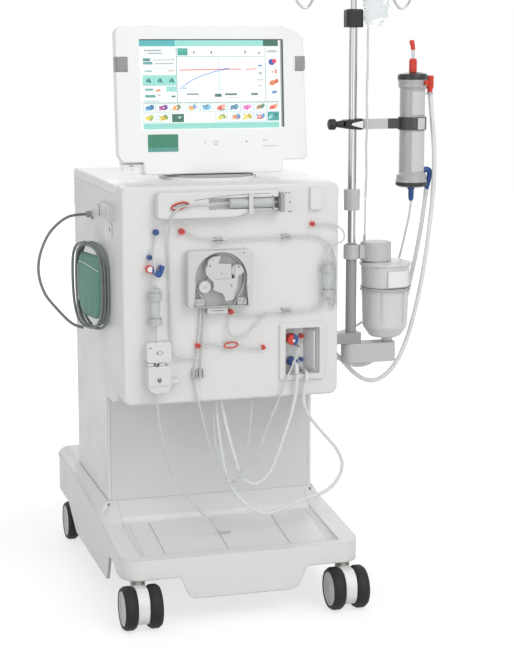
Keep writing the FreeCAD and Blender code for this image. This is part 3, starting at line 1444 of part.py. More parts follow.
def build_line_column():
    """The left column: level detector, venous clamp with its lever, chambers and their holders."""
    detector = new_body("level_detector", on_panel(s.detector_x, s.detector_rise), "front")
    pad(detector, rectangle(s.detector_width, s.detector_height, 8), s.detector_depth)
    rounded(detector, 3, at_height(s.detector_depth))
    slot_shape = rectangle(s.line_slot, s.detector_height + 4, None, s.column_x - s.detector_x, 0)
    pocket(detector, slot_shape, s.detector_depth, offset=s.chamber_stand - s.line_slot / 2)
    node("level_detector", detector)

    clamp = new_body("clamp_case", on_panel(s.detector_x, s.clamp_rise), "front")
    half_w, half_h = s.clamp_width / 2, s.clamp_height / 2
    clamp_shape = [(-half_w, -half_h, 18), (half_w, -half_h, 18), (half_w, half_h, 5), (-half_w, half_h, 5)]
    pad(clamp, clamp_shape, s.clamp_depth)
    rounded(clamp, 3, at_height(s.clamp_depth))
    slot_shape = rectangle(s.line_slot, s.clamp_height + 4, None, s.column_x - s.detector_x, 0)
    pocket(clamp, slot_shape, s.clamp_depth, offset=s.chamber_stand - s.line_slot / 2)
    bore = s.lever_radius + s.bearing_gap
    lever_up = s.lever_drop
    lever_mid = s.clamp_depth / 2 - 2
    guide = ("circle", -lever_up, lever_mid, bore)
    pocket(clamp, guide, s.lever_seat + 10, "YZ", half_w - s.lever_seat)
    ears = []
    for side, name in ((-1, "left"), (1, "right")):
        ear_shape = rectangle(s.ear_width, s.ear_height, 3, side * s.ear_pitch / 2 + s.column_x - s.detector_x, 0)
        ears.append(slab(
            f"clamp_ear_{name}", ear_shape, s.clamp_depth - 6,
            on_panel(s.detector_x, s.clamp_rise + s.clamp_height / 2 + s.ear_height / 2 + s.seam / 2), "front", 2
        ))
    node("venous_clamp", clamp, *ears)
    lever_profile = [
        (0, 8), (s.lever_radius - 2, 8), (s.lever_radius, 10), (s.lever_radius, s.lever_seat + s.lever_length, 3),
        (0, s.lever_seat + s.lever_length),
    ]
    lever_place = (
        s.detector_x + half_w - s.lever_seat, PANEL_Y - lever_mid, PANEL_FOOT + s.clamp_rise - lever_up
    )
    node("clamp_lever", turned("clamp_lever", lever_profile, lever_place, "right"))

    chamber_y = PANEL_Y - s.chamber_stand
    chambers = [
        ("venous_chamber", s.column_x, s.chamber_rise, s.chamber_radius, s.chamber_length),
        ("arterial_chamber", s.arterial_x, s.arterial_rise, s.arterial_radius, s.arterial_length),
    ]
    bodies = []
    holders = []
    for name, across, rise, radius, length in chambers:
        profile = [
            (0, 0), (3.2, 0), (3.2, 8), (radius - 1.5, 14, 3), (radius, length * 0.6, 3),
            (radius + 1, length - 16, 1), (radius + 1, length - 8, 3), (3.2, length - 6), (3.2, length), (0, length),
        ]
        bodies.append(turned(name, profile, (across, chamber_y, PANEL_FOOT + rise)))
        for index, share in enumerate((s.holder_low, s.holder_high)):
            foot = PANEL_FOOT + rise + share
            inner = radius + 1 + s.holder_gap
            ring = turned(
                f"{name}_ring_{index}", tube_profile(inner + 3, inner, 0, s.holder_depth), (across, chamber_y, foot)
            )
            arm_depth = s.chamber_stand - inner - 1
            arm = block(
                f"{name}_arm_{index}", (s.clip_width, arm_depth, s.holder_depth),
                (across - s.clip_width / 2, PANEL_Y - arm_depth, foot)
            )
            holders.append(joined(f"{name}_holder_{index}", ring, arm))
    node("drip_chambers", *bodies)

    clips = []
    for index, (across, rise, facing) in enumerate(CLIP_PLACES):
        lying = facing == "across"
        width, height = (s.clip_height, s.clip_width) if lying else (s.clip_width, s.clip_height)
        clip = new_body(f"tube_clip_{index}", on_panel(across, rise), "front")
        pad(clip, rectangle(width, height, 2), s.clip_depth)
        rounded(clip, 1.5, at_height(s.clip_depth))
        slot = s.line_diameter + s.clip_clearance
        gap = rectangle(width + 4, slot) if lying else rectangle(slot, height + 4)
        pocket(clip, gap, s.clip_depth, offset=s.line_stand - slot / 2)
        clips.append(clip)
    node("panel_clips", *clips, *holders)


def build_recess():
    """The recess for the dialysate couplings: a framed tub with a slanting right wall."""
    tub = new_body("recess_tub", (s.recess_x, PANEL_Y + s.recess_depth, PANEL_FOOT + s.recess_rise), "front")
    tub_width = s.recess_width - s.recess_frame_wall
    tub_height = s.recess_height - s.recess_frame_wall
    pad(tub, rectangle(tub_width, tub_height, 6), s.recess_depth + s.recess_frame_depth)
    frame_foot = s.recess_depth + s.seam / 5
    pad(tub, rectangle(s.recess_width, s.recess_height, 9), s.recess_frame_depth - s.seam / 5, offset=frame_foot)
    rounded(tub, 2.5, at_height(s.recess_depth + s.recess_frame_depth))
    mouth_width = s.recess_width - s.recess_frame_wall * 2
    mouth_height = s.recess_height - s.recess_frame_wall * 2
    pocket(tub, rectangle(mouth_width, mouth_height, 4), s.recess_depth + 20, offset=s.recess_floor)
    inner_right = mouth_width / 2
    slant = new_body(
        "recess_slant", (s.recess_x, 0, PANEL_FOOT + s.recess_rise - mouth_height / 2 + s.seam), "up"
    )
    slant_shape = [
        (inner_right - s.recess_slope, PANEL_Y + s.recess_depth - s.recess_floor / 2),
        (inner_right + s.recess_floor / 2, PANEL_Y + s.recess_depth - s.recess_floor / 2),
        (inner_right + s.recess_floor / 2, PANEL_Y + 2),
    ]
    pad(slant, slant_shape, mouth_height - s.seam * 2)
    node("recess_frame", joined("recess_frame", tub, slant))
    flap = slab(
        "port_flap", rectangle(s.flap_width, s.flap_height, 4), s.flap_depth,
        (s.flap_x, PANEL_Y - s.running_gap, PANEL_FOOT + s.flap_rise), "front", 2
    )
    node("port_flap", flap)


def build_side_fittings():
    """The left wall's socket, clip box, strip and cuff peg, and the hose sockets of the right wall."""
    left = -HALF_CABINET
    pieces = []
    for name, deep, high, radius, length in LEFT_SOCKETS:
        pieces.append(slab(name, ("circle", 0, 0, radius), length, (left, deep, high), "left", 1))
    for name, deep, high in RIGHT_SOCKETS:
        profile = tube_profile(s.side_socket_radius, s.side_socket_bore, 0, s.side_socket_length)
        pieces.append(turned(name, profile, (HALF_CABINET, deep, high), "right"))
    box = slab(
        "clip_box", rectangle(s.clip_box_width, s.clip_box_height, 4), s.clip_box_depth,
        (left, s.clip_box_y, s.clip_box_z), "left", 2
    )
    strip = slab(
        "hanger_strip", rectangle(s.strip_width, s.strip_height, 3), s.strip_depth,
        (left, s.strip_y, s.strip_z), "left", 2
    )
    node("side_fittings", *pieces, box, strip)
    cuff_shape = [
        (-s.cuff_width / 2, -s.cuff_height / 2, 34), (s.cuff_width / 2, -s.cuff_height / 2, 40),
        (s.cuff_width / 2, s.cuff_height / 2, 16), (-s.cuff_width / 2, s.cuff_height / 2, 26),
    ]
    cuff_place = (left - s.cuff_gap, s.cuff_y, s.cuff_z)
    node("pressure_cuff", slab("pressure_cuff", cuff_shape, s.cuff_thickness, cuff_place, "cuff", 9))


def build_pole():
    """The bracket and fixed tubes, the sliding rod with its hooks, and the dialyser's clamp."""
    bracket_end = s.pole_x + s.bracket_width / 2 + 2
    bracket_shape = [
        (HALF_CABINET, s.pole_y - s.bracket_width / 2), (bracket_end, s.pole_y - s.bracket_width / 2, 8),
        (bracket_end, s.pole_y + s.bracket_width / 2, 8), (HALF_CABINET, s.pole_y + s.bracket_width / 2),
    ]
    bracket = slab("pole_bracket", bracket_shape, s.bracket_height, (0, 0, s.bracket_z), "up", 3)
    collar_top = s.collar_foot + s.collar_height
    bore = s.pole_rod_radius + s.bearing_gap
    outline = [
        (0, s.pivot_foot), (s.pivot_radius, s.pivot_foot), (s.pivot_radius, s.bracket_z + 2),
        (s.pole_tube_radius, s.bracket_z + 2), (s.pole_tube_radius, s.pole_tube_top, 2),
        (s.pole_chrome_radius, s.pole_tube_top + 2), (s.pole_chrome_radius, s.pole_sleeve_foot),
        (s.pole_sleeve_radius, s.pole_sleeve_foot, 1.5), (s.pole_sleeve_radius, s.pole_sleeve_top, 1.5),
        (s.pole_chrome_radius, s.pole_sleeve_top), (s.pole_chrome_radius, collar_top - 2),
        (bore, collar_top - 2), (bore, s.bore_foot), (0, s.bore_foot),
    ]
    tube = turned("pole_pipe", outline, (s.pole_x, s.pole_y, 0))
    collar = new_body("pole_collar", (s.pole_x, s.pole_y, s.collar_foot), "up")
    pad(collar, rectangle(s.collar_width, s.collar_depth, 9), s.collar_height)
    rounded(collar, 5, at_height(s.collar_height))
    pocket(collar, ("circle", 0, 0, bore), s.collar_height + 10)
    node("pole_tube", joined("pole_tube", bracket, tube, collar))

    rod_foot = collar_top - s.pole_overlap
    bar = rod("slide_rod", s.pole_rod_radius, s.pole_top - rod_foot, (s.pole_x, s.pole_y, rod_foot))
    boss = turned(
        "hook_boss",
        [(0, 0), (s.pole_rod_radius + 4, 0, 2), (s.pole_rod_radius + 4, 22, 6), (0, 22)],
        (s.pole_x, s.pole_y, s.pole_top - 14)
    )
    hooks = []
    for side, name in ((-1, "left"), (1, "right")):
        points = [
            (s.pole_x + side * across, s.pole_y, s.pole_top + up) for across, up in HOOK_ROUTE
        ]
        hooks.append(bent_tube(f"hook_{name}", points, s.hook_radius * 2))
    node("pole_rod", joined("pole_rod", bar, boss, *hooks))

    jaw_shape = [
        (-s.jaw_reach, -s.jaw_height / 2 + 4, 3), (s.jaw_reach, -s.jaw_height / 2, 5),
        (s.jaw_reach, s.jaw_height / 2, 5), (-s.jaw_reach, s.jaw_height / 2 - 4, 3),
    ]
    jaw = new_body("clamp_jaw", (s.pole_x, s.pole_y + s.jaw_depth / 2, s.holder_z), "front")
    pad(jaw, jaw_shape, s.jaw_depth)
    rounded(jaw, 3, at_height(s.jaw_depth))
    grip = s.pole_chrome_radius
    pocket(jaw, ("circle", 0, s.jaw_depth / 2, grip), s.jaw_height + 4, "XZ", -s.jaw_height / 2 - 2)
    screw_bore = s.screw_radius + s.bearing_gap
    pocket(jaw, ("circle", 0, s.jaw_depth / 2, screw_bore), s.jaw_reach + 4, "YZ", -s.jaw_reach - 4)
    knob_foot = grip + 0.4
    knob_profile = [
        (0, knob_foot), (s.screw_radius, knob_foot), (s.screw_radius, s.jaw_reach + s.running_gap + 2),
        (s.knob_radius / 2 + 3, s.jaw_reach + s.running_gap + 2, 1), (s.knob_radius / 2, s.knob_reach - 12, 3),
        (s.knob_radius, s.knob_reach - 10, 3), (s.knob_radius, s.knob_reach + 6, 5), (0, s.knob_reach + 6),
    ]
    node("clamp_knob", turned("clamp_knob", knob_profile, (s.pole_x, s.pole_y, s.holder_z), "left"))
    band_outer = s.dialyser_radius + s.band_thickness
    arm_start = s.pole_x + s.jaw_reach - 3
    arm_length = s.dialyser_x - band_outer - arm_start + 3
    arm = block(
        "clamp_bar", (arm_length, s.bar_depth, s.band_height - 6),
        (arm_start, s.pole_y - s.bar_depth / 2, s.holder_z - s.band_height / 2 + 3)
    )
    band = turned(
        "clamp_band",
        tube_profile(band_outer, s.dialyser_radius, 0, s.band_height),
        (s.dialyser_x, s.pole_y, s.holder_z - s.band_height / 2)
    )
    node("dialyser_clamp", joined("dialyser_clamp", jaw, arm, band))


def build_dialyser():
    """The dialyser: its grey shell, and the dark end caps with their ports."""
    radius, length, cap = s.dialyser_radius, s.dialyser_length, s.dialyser_cap_height
    flare = s.dialyser_flare
    centre = (s.dialyser_x, s.pole_y, DIALYSER_FOOT)
    shell = turned(
        "dialyser_shell",
        [
            (0, cap / 2), (radius + flare - 1, cap / 2), (radius + flare - 1, cap + 4, 2), (radius, cap + 10, 6),
            (radius, length - cap - 10, 6), (radius + flare - 3, length - cap - 4, 2),
            (radius + flare - 3, length - cap / 2), (0, length - cap / 2),
        ],
        centre
    )
    node("dialyser_shell", shell)
    lower = turned(
        "dialyser_foot_cap",
        [
            (0, -s.foot_port_length), (3.4, -s.foot_port_length), (6.5, -s.foot_port_length + 6, 2), (6.5, -6, 2),
            (12, 0, 4), (radius + flare - 4, 2, 4), (radius + flare + 1, 8, 2), (radius + flare + 1, cap / 2),
            (0, cap / 2),
        ],
        centre
    )
    top = length - cap / 2
    upper = turned(
        "dialyser_head_cap",
        [
            (0, top), (radius + flare - 1, top), (radius + flare - 1, length - 8, 2), (radius - 6, length, 5),
            (9, length + 4, 2), (9, length + 32, 3), (5, length + 34), (4.2, length + 58), (5.4, length + 60),
            (4.8, length + s.top_port_length, 3), (0, length + s.top_port_length),
        ],
        centre
    )
    port_seat = radius + flare - 2.7
    side_up = turned(
        "side_port_upper",
        [(0, port_seat), (6, port_seat), (6, s.side_port_reach, 1), (0, s.side_port_reach)],
        (s.dialyser_x, s.pole_y, DIALYSER_FOOT + s.upper_port_rise), "right"
    )
    drop_x = s.dialyser_x + s.side_port_reach
    upper_cap = turned(
        "side_cap_upper",
        [(0, 0), (7.5, 0), (7.5, 6), (s.port_cap_radius, 8, 1), (s.port_cap_radius, 36, 5), (0, 36)],
        (drop_x, s.pole_y, DIALYSER_FOOT + s.upper_port_rise - 20)
    )
    elbow_route = [
        (s.dialyser_x + across, s.pole_y + deep, DIALYSER_FOOT + up) for across, deep, up in ELBOW_ROUTE
    ]
    elbow = bent_tube("side_elbow_lower", elbow_route, s.elbow_diameter)
    upper_end = joined("dialyser_upper_end", upper, side_up, upper_cap)
    node("dialyser_ends", lower, elbow, upper_end)


def build_cartridge():
    """The bicarbonate cartridge between its swinging head and arm."""
    collar = turned(
        "head_collar",
        tube_profile(s.pole_tube_radius + 6, s.pole_tube_radius + s.bearing_gap, 6, s.head_height - 6),
        (s.pole_x, s.pole_y, s.head_foot)
    )
    head = turned(
        "head_drum",
        [(0, 0), (s.head_radius, 0, 2), (s.head_radius, s.head_height, 4), (0, s.head_height)],
        (s.pole_x + s.head_reach, s.pole_y, s.head_foot)
    )
    link_start = s.pole_x + s.pole_tube_radius + 3
    link = block(
        "head_link", (s.head_reach - s.pole_tube_radius - 8, s.link_depth, s.head_height - 14),
        (link_start, s.pole_y - s.link_depth / 2, s.head_foot + 7)
    )
    node("cartridge_head", joined("cartridge_head", collar, link, head))

    arm_foot = s.pivot_foot
    arm_height = s.bracket_z - s.running_gap - arm_foot
    half = s.arm_width / 2
    arm = new_body("swing_arm", (s.pole_x, s.pole_y, arm_foot), "up")
    arm_shape = [
        (-half, -half, s.arm_width / 2 - 0.5), (s.cup_reach + half + 2, -half - 2, s.arm_width / 2 - 1),
        (s.cup_reach + half + 2, half + 2, s.arm_width / 2 - 1), (-half, half, s.arm_width / 2 - 0.5),
    ]
    pad(arm, arm_shape, arm_height)
    rounded(arm, 4, at_height(arm_height))
    pocket(arm, ("circle", 0, 0, s.pivot_radius + s.bearing_gap), arm_height + 4)
    pocket(arm, ("circle", s.cup_reach, 0, s.cup_spigot), 14, offset=arm_height - 14)
    node("cartridge_arm", arm)

    foot = arm_foot + arm_height
    top = s.head_foot - s.seam - foot
    low = s.cup_radius - s.cup_taper
    cup = turned(
        "cartridge_cup",
        [
            (0, -14), (s.cup_spigot, -14), (s.cup_spigot, s.cup_lift), (low - 18, s.cup_lift, 14),
            (low, s.cup_lift + 26, 18), (s.cup_radius - 4, top - 12), (s.cup_radius, top - 10, 1),
            (s.cup_radius, top - 4, 1), (s.cup_radius - 16, top, 2), (0, top),
        ],
        (s.pole_x + s.cup_reach, s.pole_y, foot)
    )
    node("cartridge_cup", cup)


def build_lines():
    """Held blood lines, their caps and clamps, the free hanging lines, and the bag."""
    lines = [
        bent_tube(name, [(across, PANEL_Y - out, PANEL_FOOT + rise) for across, out, rise in route], s.line_diameter)
        for name, route in HELD_LINES.items()
    ]
    node("blood_lines", *lines)
    fittings = []
    for name, across, rise, out, facing, radius, length in FITTINGS:
        place = (across, PANEL_Y - out, PANEL_FOOT + rise)
        fittings.append(slab(name, ("circle", 0, 0, radius), length, place, facing, 1))
    for name, across, rise, out, width, height in PINCH_CLAMPS:
        place = (across, PANEL_Y - out, PANEL_FOOT + rise)
        fittings.append(slab(name, rectangle(width, height, height / 2 - 0.2), 6, place, "front", 2))
    for name, diameter, route in RECESS_ELBOWS:
        fittings.append(bent_tube(name, route, diameter))
    node("line_fittings", *fittings)
    for name, (diameter, points) in CORDS.items():
        node(name, bent_tube(name, points, diameter))
    bag_shape = rectangle(s.bag_width, s.bag_height, 10)
    bag_place = (s.bag_x, s.pole_y + s.bag_thickness / 2, s.pole_top - s.bag_height / 2 - 18)
    bag = slab("bag_pillow", bag_shape, s.bag_thickness, bag_place, "front", 7)
    tab = block(
        "bag_tab", (20, 3, 22), (s.bag_x - 20, s.pole_y - 1.5, s.pole_top - 22)
    )
    node("hanging_bag", joined("hanging_bag", bag, tab))


build_base_cover()
build_base_frame()
CASTERS = {
    "front_left": (-CASTER_X, s.caster_front_y),
    "front_right": (CASTER_X, s.caster_front_y),
    "rear_left": (-CASTER_X, s.caster_rear_y),
    "rear_right": (CASTER_X, s.caster_rear_y),
}
for corner, (across, deep) in CASTERS.items():
    build_caster(corner, across, deep)
build_cabinet()
build_inner_units()
build_monitor()
build_syringe_pump()
build_blood_pump()
build_line_column()
build_recess()
build_side_fittings()
build_pole()
build_dialyser()
build_cartridge()
build_lines()
doc.recompute()

for thing in doc.Objects:
    broken = [state for state in thing.State if state in ("Invalid", "Error")]
    if broken:
        raise RuntimeError(f"{thing.Label} is {broken}")
for thing in NODES:
    shape = thing.Shape
    if shape.isNull() or not shape.isValid() or not shape.Solids:
        raise RuntimeError(f"{thing.Label} has no sound solid")
    shape.exportStep(f"parts/{thing.Label}.step")
print(f"{len(NODES)} nodes written")
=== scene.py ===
"""Looks of the dialysis machine: camera, cords, materials, soft pieces and small detail."""

import math
import random

import bmesh
import bpy
from mathutils import Matrix, Vector, noise


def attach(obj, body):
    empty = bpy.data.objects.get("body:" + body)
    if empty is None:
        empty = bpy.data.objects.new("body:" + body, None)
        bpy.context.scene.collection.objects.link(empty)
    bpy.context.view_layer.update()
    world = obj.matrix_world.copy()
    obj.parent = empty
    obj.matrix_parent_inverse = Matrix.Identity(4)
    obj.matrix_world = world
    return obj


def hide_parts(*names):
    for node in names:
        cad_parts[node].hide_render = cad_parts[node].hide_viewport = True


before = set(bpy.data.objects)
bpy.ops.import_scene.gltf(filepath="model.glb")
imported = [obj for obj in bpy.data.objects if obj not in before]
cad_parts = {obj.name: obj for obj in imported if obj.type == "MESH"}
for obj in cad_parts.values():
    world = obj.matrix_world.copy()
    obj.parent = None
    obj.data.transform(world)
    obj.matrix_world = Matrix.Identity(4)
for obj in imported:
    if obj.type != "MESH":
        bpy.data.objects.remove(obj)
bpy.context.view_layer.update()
SHIFT = Vector((-108, 27, 0))
PANEL_Y = -338
PANEL_FOOT = 490
RECESS_DEPTH = 39


def at(x, y, z):
    """A place in the row frame, in metres, from millimetres counted from the middle of the base."""
    return (Vector((x, y, z)) + SHIFT) / 1000


# Camera, floor and light

scene = bpy.context.scene
CAMERA_DOWN, CAMERA_ROUND = 9.83, 16.45
camera = bpy.data.objects.new("camera", bpy.data.cameras.new("camera"))
scene.collection.objects.link(camera)
scene.camera = camera
camera.location = at(-1012, -3963.7, 1319.5)
camera.rotation_euler = (math.radians(90 - CAMERA_DOWN), 0, math.radians(-CAMERA_ROUND))
camera.data.sensor_width = 36
camera.data.lens = 92.55
camera.data.clip_end = 50
scene.view_settings.view_transform = "Standard"


def linear(colour):
    """An 0 to 255 screen colour as the numbers that a shader takes."""
    parts = [c / 255 for c in colour]
    return tuple(p / 12.92 if p <= 0.04045 else ((p + 0.055) / 1.055) ** 2.4 for p in parts) + (1.0,)


class Shading:
    """The nodes of a material or a world, with short ways to add and join them."""

    def __init__(self, owner):
        owner.use_nodes = True
        self.material = owner
        self.nodes, self.links = owner.node_tree.nodes, owner.node_tree.links
        self.shader = self.nodes.get("Principled BSDF")
        self.output = next(n for n in self.nodes if n.type.startswith("OUTPUT"))

    @property
    def place(self):
        """The object's own coordinates, from one node that the whole material shares."""
        found = [n for n in self.nodes if n.type == "TEX_COORD"] or [self.nodes.new("ShaderNodeTexCoord")]
        return found[0].outputs["Object"]

    def add(self, kind, **inputs):
        made = self.nodes.new(kind)
        for key, value in inputs.items():
            if hasattr(made, key):
                setattr(made, key, value)
            else:
                self.put(made, key.replace("_", " "), value)
        return made

    def shade(self, **inputs):
        """Sets or joins inputs of the material's own shader."""
        for key, value in inputs.items():
            self.put(self.shader, key.replace("_", " "), value)

    def put(self, made, socket, value):
        socket = int(socket) if socket.isdigit() else socket
        if isinstance(value, bpy.types.NodeSocket):
            self.links.new(value, made.inputs[socket])
        else:
            made.inputs[socket].default_value = value

    def noise(self, scale, detail=2.0):
        made = self.add("ShaderNodeTexNoise", Scale=scale, Detail=detail, Vector=self.place)
        return made.outputs["Fac"]

    def math(self, how, a, b=0.0):
        made = self.nodes.new("ShaderNodeMath")
        made.operation = how
        self.put(made, "0", a)
        self.put(made, "1", b)
        return made.outputs[0]

    def times(self, a, b):
        return self.math("MULTIPLY", a, b)

    def length(self, a, b):
        """The length of a line that goes a along one axis and b along the other."""
        return self.math("SQRT", self.math("ADD", self.times(a, a), self.times(b, b)))

    def blend(self, share, first, second):
        """Two shaders joined by a share."""
        made = self.nodes.new("ShaderNodeMixShader")
        for socket, value in zip(made.inputs, (share, first, second)):
            self.links.new(value, socket)
        return made.outputs[0]

    def mix(self, share, first, second):
        made = self.nodes.new("ShaderNodeMix")
        made.data_type = "RGBA"
        self.put(made, "0", share)
        self.put(made, "6", first)
        self.put(made, "7", second)
        return made.outputs[2]

    def spread(self, value, low, high, from_low=0.0, from_high=1.0):
        span = {"From_Min": from_low, "From_Max": from_high, "To_Min": low, "To_Max": high}
        return self.add("ShaderNodeMapRange", Value=value, **span).outputs[0]

    def bump(self, height, strength, distance, under=None):
        made = self.add("ShaderNodeBump", Height=height, Strength=strength, Distance=distance)
        if under is not None:
            self.links.new(under, made.inputs["Normal"])
        return made.outputs[0]

    def axes(self):
        made = self.nodes.new("ShaderNodeSeparateXYZ")
        self.links.new(self.place, made.inputs[0])
        return made.outputs

    def within(self, value, low, high):
        """1 where a value lies between two limits, and 0 elsewhere."""
        return self.times(self.math("GREATER_THAN", value, low), self.math("LESS_THAN", value, high))


def shades(colour, change):
    """Two near tones round a colour, for its slow variation over a surface."""
    low = tuple(max(0, c - change) for c in colour)
    high = tuple(min(255, c + change) for c in colour)
    return linear(low), linear(high)


def surface(name, colour, rough=0.42, metal=0.0, grain=0.12, grain_scale=900, change=3, blotch=7,
            clear=0.0, coat=0.0, ior=1.46, edge=0.0):
    """Moulded plastic, paint, rubber or metal with slow colour change, fine grain and uneven gloss."""
    sh = Shading(bpy.data.materials.new(name))
    low, high = shades(colour, change)
    under = sh.add("ShaderNodeBevel", samples=4, Radius=edge).outputs[0] if edge else None
    sh.shade(
        Base_Color=sh.mix(sh.noise(blotch, 3), low, high),
        Roughness=sh.spread(sh.noise(blotch * 4, 4), rough - 0.07, rough + 0.07, 0.3, 0.7),
        Normal=sh.bump(sh.noise(grain_scale, 1), grain, 0.0004, under),
        Metallic=metal, IOR=ior, Transmission_Weight=clear, Coat_Weight=coat)
    return sh.material


def floor_material():
    """White to the eye, whiter further out, and a plain grey to the light that it throws back."""
    sh = Shading(bpy.data.materials.new("stage_floor"))
    sh.nodes.remove(sh.shader)
    path = sh.nodes.new("ShaderNodeLightPath")
    seen = sh.math("MAXIMUM", path.outputs["Is Camera Ray"], path.outputs["Is Glossy Ray"])
    seen = sh.math("MAXIMUM", seen, path.outputs["Is Transmission Ray"])
    diffuse = sh.add("ShaderNodeBsdfDiffuse", Color=(0.9, 0.9, 0.9, 1))
    plain = sh.add("ShaderNodeBsdfDiffuse", Color=(0.72, 0.72, 0.71, 1))
    white = sh.add("ShaderNodeEmission", Strength=1.25)
    axes = sh.axes()
    share = sh.spread(sh.length(axes[0], axes[1]), 0.56, 1.0, 0.7, 1.5)
    lit = sh.blend(share, diffuse.outputs[0], white.outputs[0])
    sh.links.new(sh.blend(seen, plain.outputs[0], lit), sh.output.inputs[0])
    return sh.material


sheet = bpy.data.meshes.new("floor")
sheet.from_pydata([(-9, -9, 0), (9, -9, 0), (9, 9, 0), (-9, 9, 0)], [], [(0, 1, 2, 3)])
sheet.materials.append(floor_material())
floor = bpy.data.objects.new("floor", sheet)
scene.collection.objects.link(floor)



def dress_world():
    """White where it is seen, directly or in a gloss, and a dimmer sky for the light itself."""
    scene.world = bpy.data.worlds.new("world")
    sh = Shading(scene.world)
    white = sh.add("ShaderNodeBackground", Color=(1, 1, 1, 1), Strength=1.0)
    ambient = sh.nodes["Background"]
    sh.put(ambient, "Color", (0.96, 0.98, 1.0, 1))
    sh.put(ambient, "Strength", 0.52)
    path = sh.nodes.new("ShaderNodeLightPath")
    seen = sh.math("MAXIMUM", path.outputs["Is Camera Ray"], path.outputs["Is Transmission Ray"])
    seen = sh.math("MAXIMUM", seen, path.outputs["Is Glossy Ray"])
    sh.links.new(sh.blend(seen, ambient.outputs[0], white.outputs[0]), sh.output.inputs[0])


dress_world()


def lamp(name, place, aim, width, power):
    data = bpy.data.lights.new(name, "AREA")
    data.size = width
    data.energy = power
    obj = bpy.data.objects.new(name, data)
    scene.collection.objects.link(obj)
    obj.location = place
    obj.rotation_euler = (Vector(aim) - Vector(place)).to_track_quat("-Z", "Y").to_euler()


lamp("key_light", (1.2, -3.0, 3.4), (0, 0, 0.8), 2.2, 50)
lamp("fill_light", (-3.2, -2.4, 2.0), (0, 0, 0.7), 2.5, 22)
lamp("rear_light", (0.4, 3.0, 2.8), (0, 0, 0.8), 2.5, 30)
lamp("low_light", (0.3, -3.6, 0.75), (-0.1, 0, 0.5), 2.2, 19)


# Cords

TUBE = surface("clear_tube", (228, 230, 230), rough=0.16, clear=0.35, ior=1.25, grain=0.03, change=4,
               blotch=30)
CORD_SPECS = {
    "cuff_hose": (7, 0.400, "object", [
        (-268.6, 18, 893), (-292, 14, 893), (-316, 8, 889), (-340, -4, 876), (-362, -16, 858),
        (-379, -30, 835), (-393, -44, 806), (-400, -56, 775), (-396, -60, 741), (-384, -62, 710),
        (-367, -64, 688),
        (-350, -66, 668), (-332, -68, 648), (-313, -70, 634), (-296, -74, 631),
    ]),
    "dialysate_hose_a": (11, 0.888, "object", [
        (516, -240, 1189.4), (521, -246, 1120), (526, -253, 1040), (523, -257, 955), (513, -256, 850),
        (500, -253, 745), (482, -249, 655), (462, -247, 585), (436, -244, 530), (404, -236, 497),
        (372, -226, 490), (340, -214, 510), (312, -204, 545), (286, -200, 568), (268.4, -200, 573),
    ]),
    "dialysate_hose_b": (11, 0.594, "object", [
        (511.9, -238.3, 956), (508, -232, 900), (501, -222, 830), (491, -210, 755), (477, -202, 682),
        (456, -195, 614), (428, -189, 560), (396, -185, 528), (362, -181, 520), (330, -177, 532),
        (302, -173, 550), (282, -172, 560), (268.4, -172, 562),
    ]),
    "dialyser_line": (6, 0.464, "object", [
        (472, -240, 927.6), (471, -237, 900), (467, -224, 858), (465, -204, 812), (460, -186, 766),
        (449, -170, 718), (428, -157, 672), (398, -149, 632), (362, -144, 608), (324, -141, 598),
        (292, -140, 597), (268.4, -140, 598),
    ]),
    "drip_line": (5, 0.484, "connector", [
        (358, -240, 1333.7), (355, -248, 1296), (352, -258, 1240), (349, -259, 1180), (352, -260, 1120),
        (349, -259, 1060), (352, -258, 1000), (350, -256, 945), (352, -252, 895), (352, -249, 852),
    ]),
    "line_v1": (5, 0.416, "connector", [
        (-185, -360, 522), (-183, -360, 478), (-175, -357, 425), (-164, -352, 378), (-151, -346, 332),
        (-128, -341, 290), (-97, -334, 252), (-64, -324, 215), (-36, -311, 184), (-17, -300, 164),
    ]),
    "line_u1": (5, 0.492, "object", [
        (-92, -347, 548), (-90, -347, 520), (-80, -346, 480), (-68, -345, 430), (-57, -343, 380),
        (-44, -340, 334), (-26, -336, 300), (4, -330, 288), (30, -325, 318), (41, -320, 368),
        (48, -316, 420), (53, -312, 458), (54, -310, 482),
    ]),
    "line_u2": (5, 0.588, "object", [
        (-38, -300, 482), (-38, -302, 452), (-37, -307, 408), (-33, -316, 364), (-24, -325, 326),
        (-8, -333, 302), (18, -339, 297), (42, -342, 318), (58, -345, 354), (70, -348, 394),
        (88, -349, 440), (108, -352, 490), (127, -354, 538), (143, -354, 574), (157, -344, 598),
        (166, -330, 606), (167, -309.4, 605),
    ]),
    "line_u3": (8, 0.518, "object", [
        (-17, -300, 482), (-13, -301, 456), (-5, -304, 418), (4, -307, 380), (14, -311, 342),
        (24, -315, 306), (44, -319, 283), (70, -323, 283), (92, -329, 306), (106, -334, 342),
        (118, -340, 382), (132, -346, 426), (143, -351, 470), (149, -355, 512), (150, -356.9, 546.3),
    ]),
    "line_u4": (8, 0.820, "object", [
        (-28, -292, 482), (-27, -293, 450), (-22, -297, 402), (-16, -300, 352), (-8, -303, 304),
        (12, -306, 262), (46, -308, 222), (90, -310, 200), (136, -310, 214), (180, -309, 234),
        (226, -309, 240), (262, -309, 262), (283, -311, 304), (268, -315, 346), (234, -322, 384),
        (198, -334, 424), (172, -345, 462), (165, -353, 498), (171.4, -359, 529.1),
    ]),
}


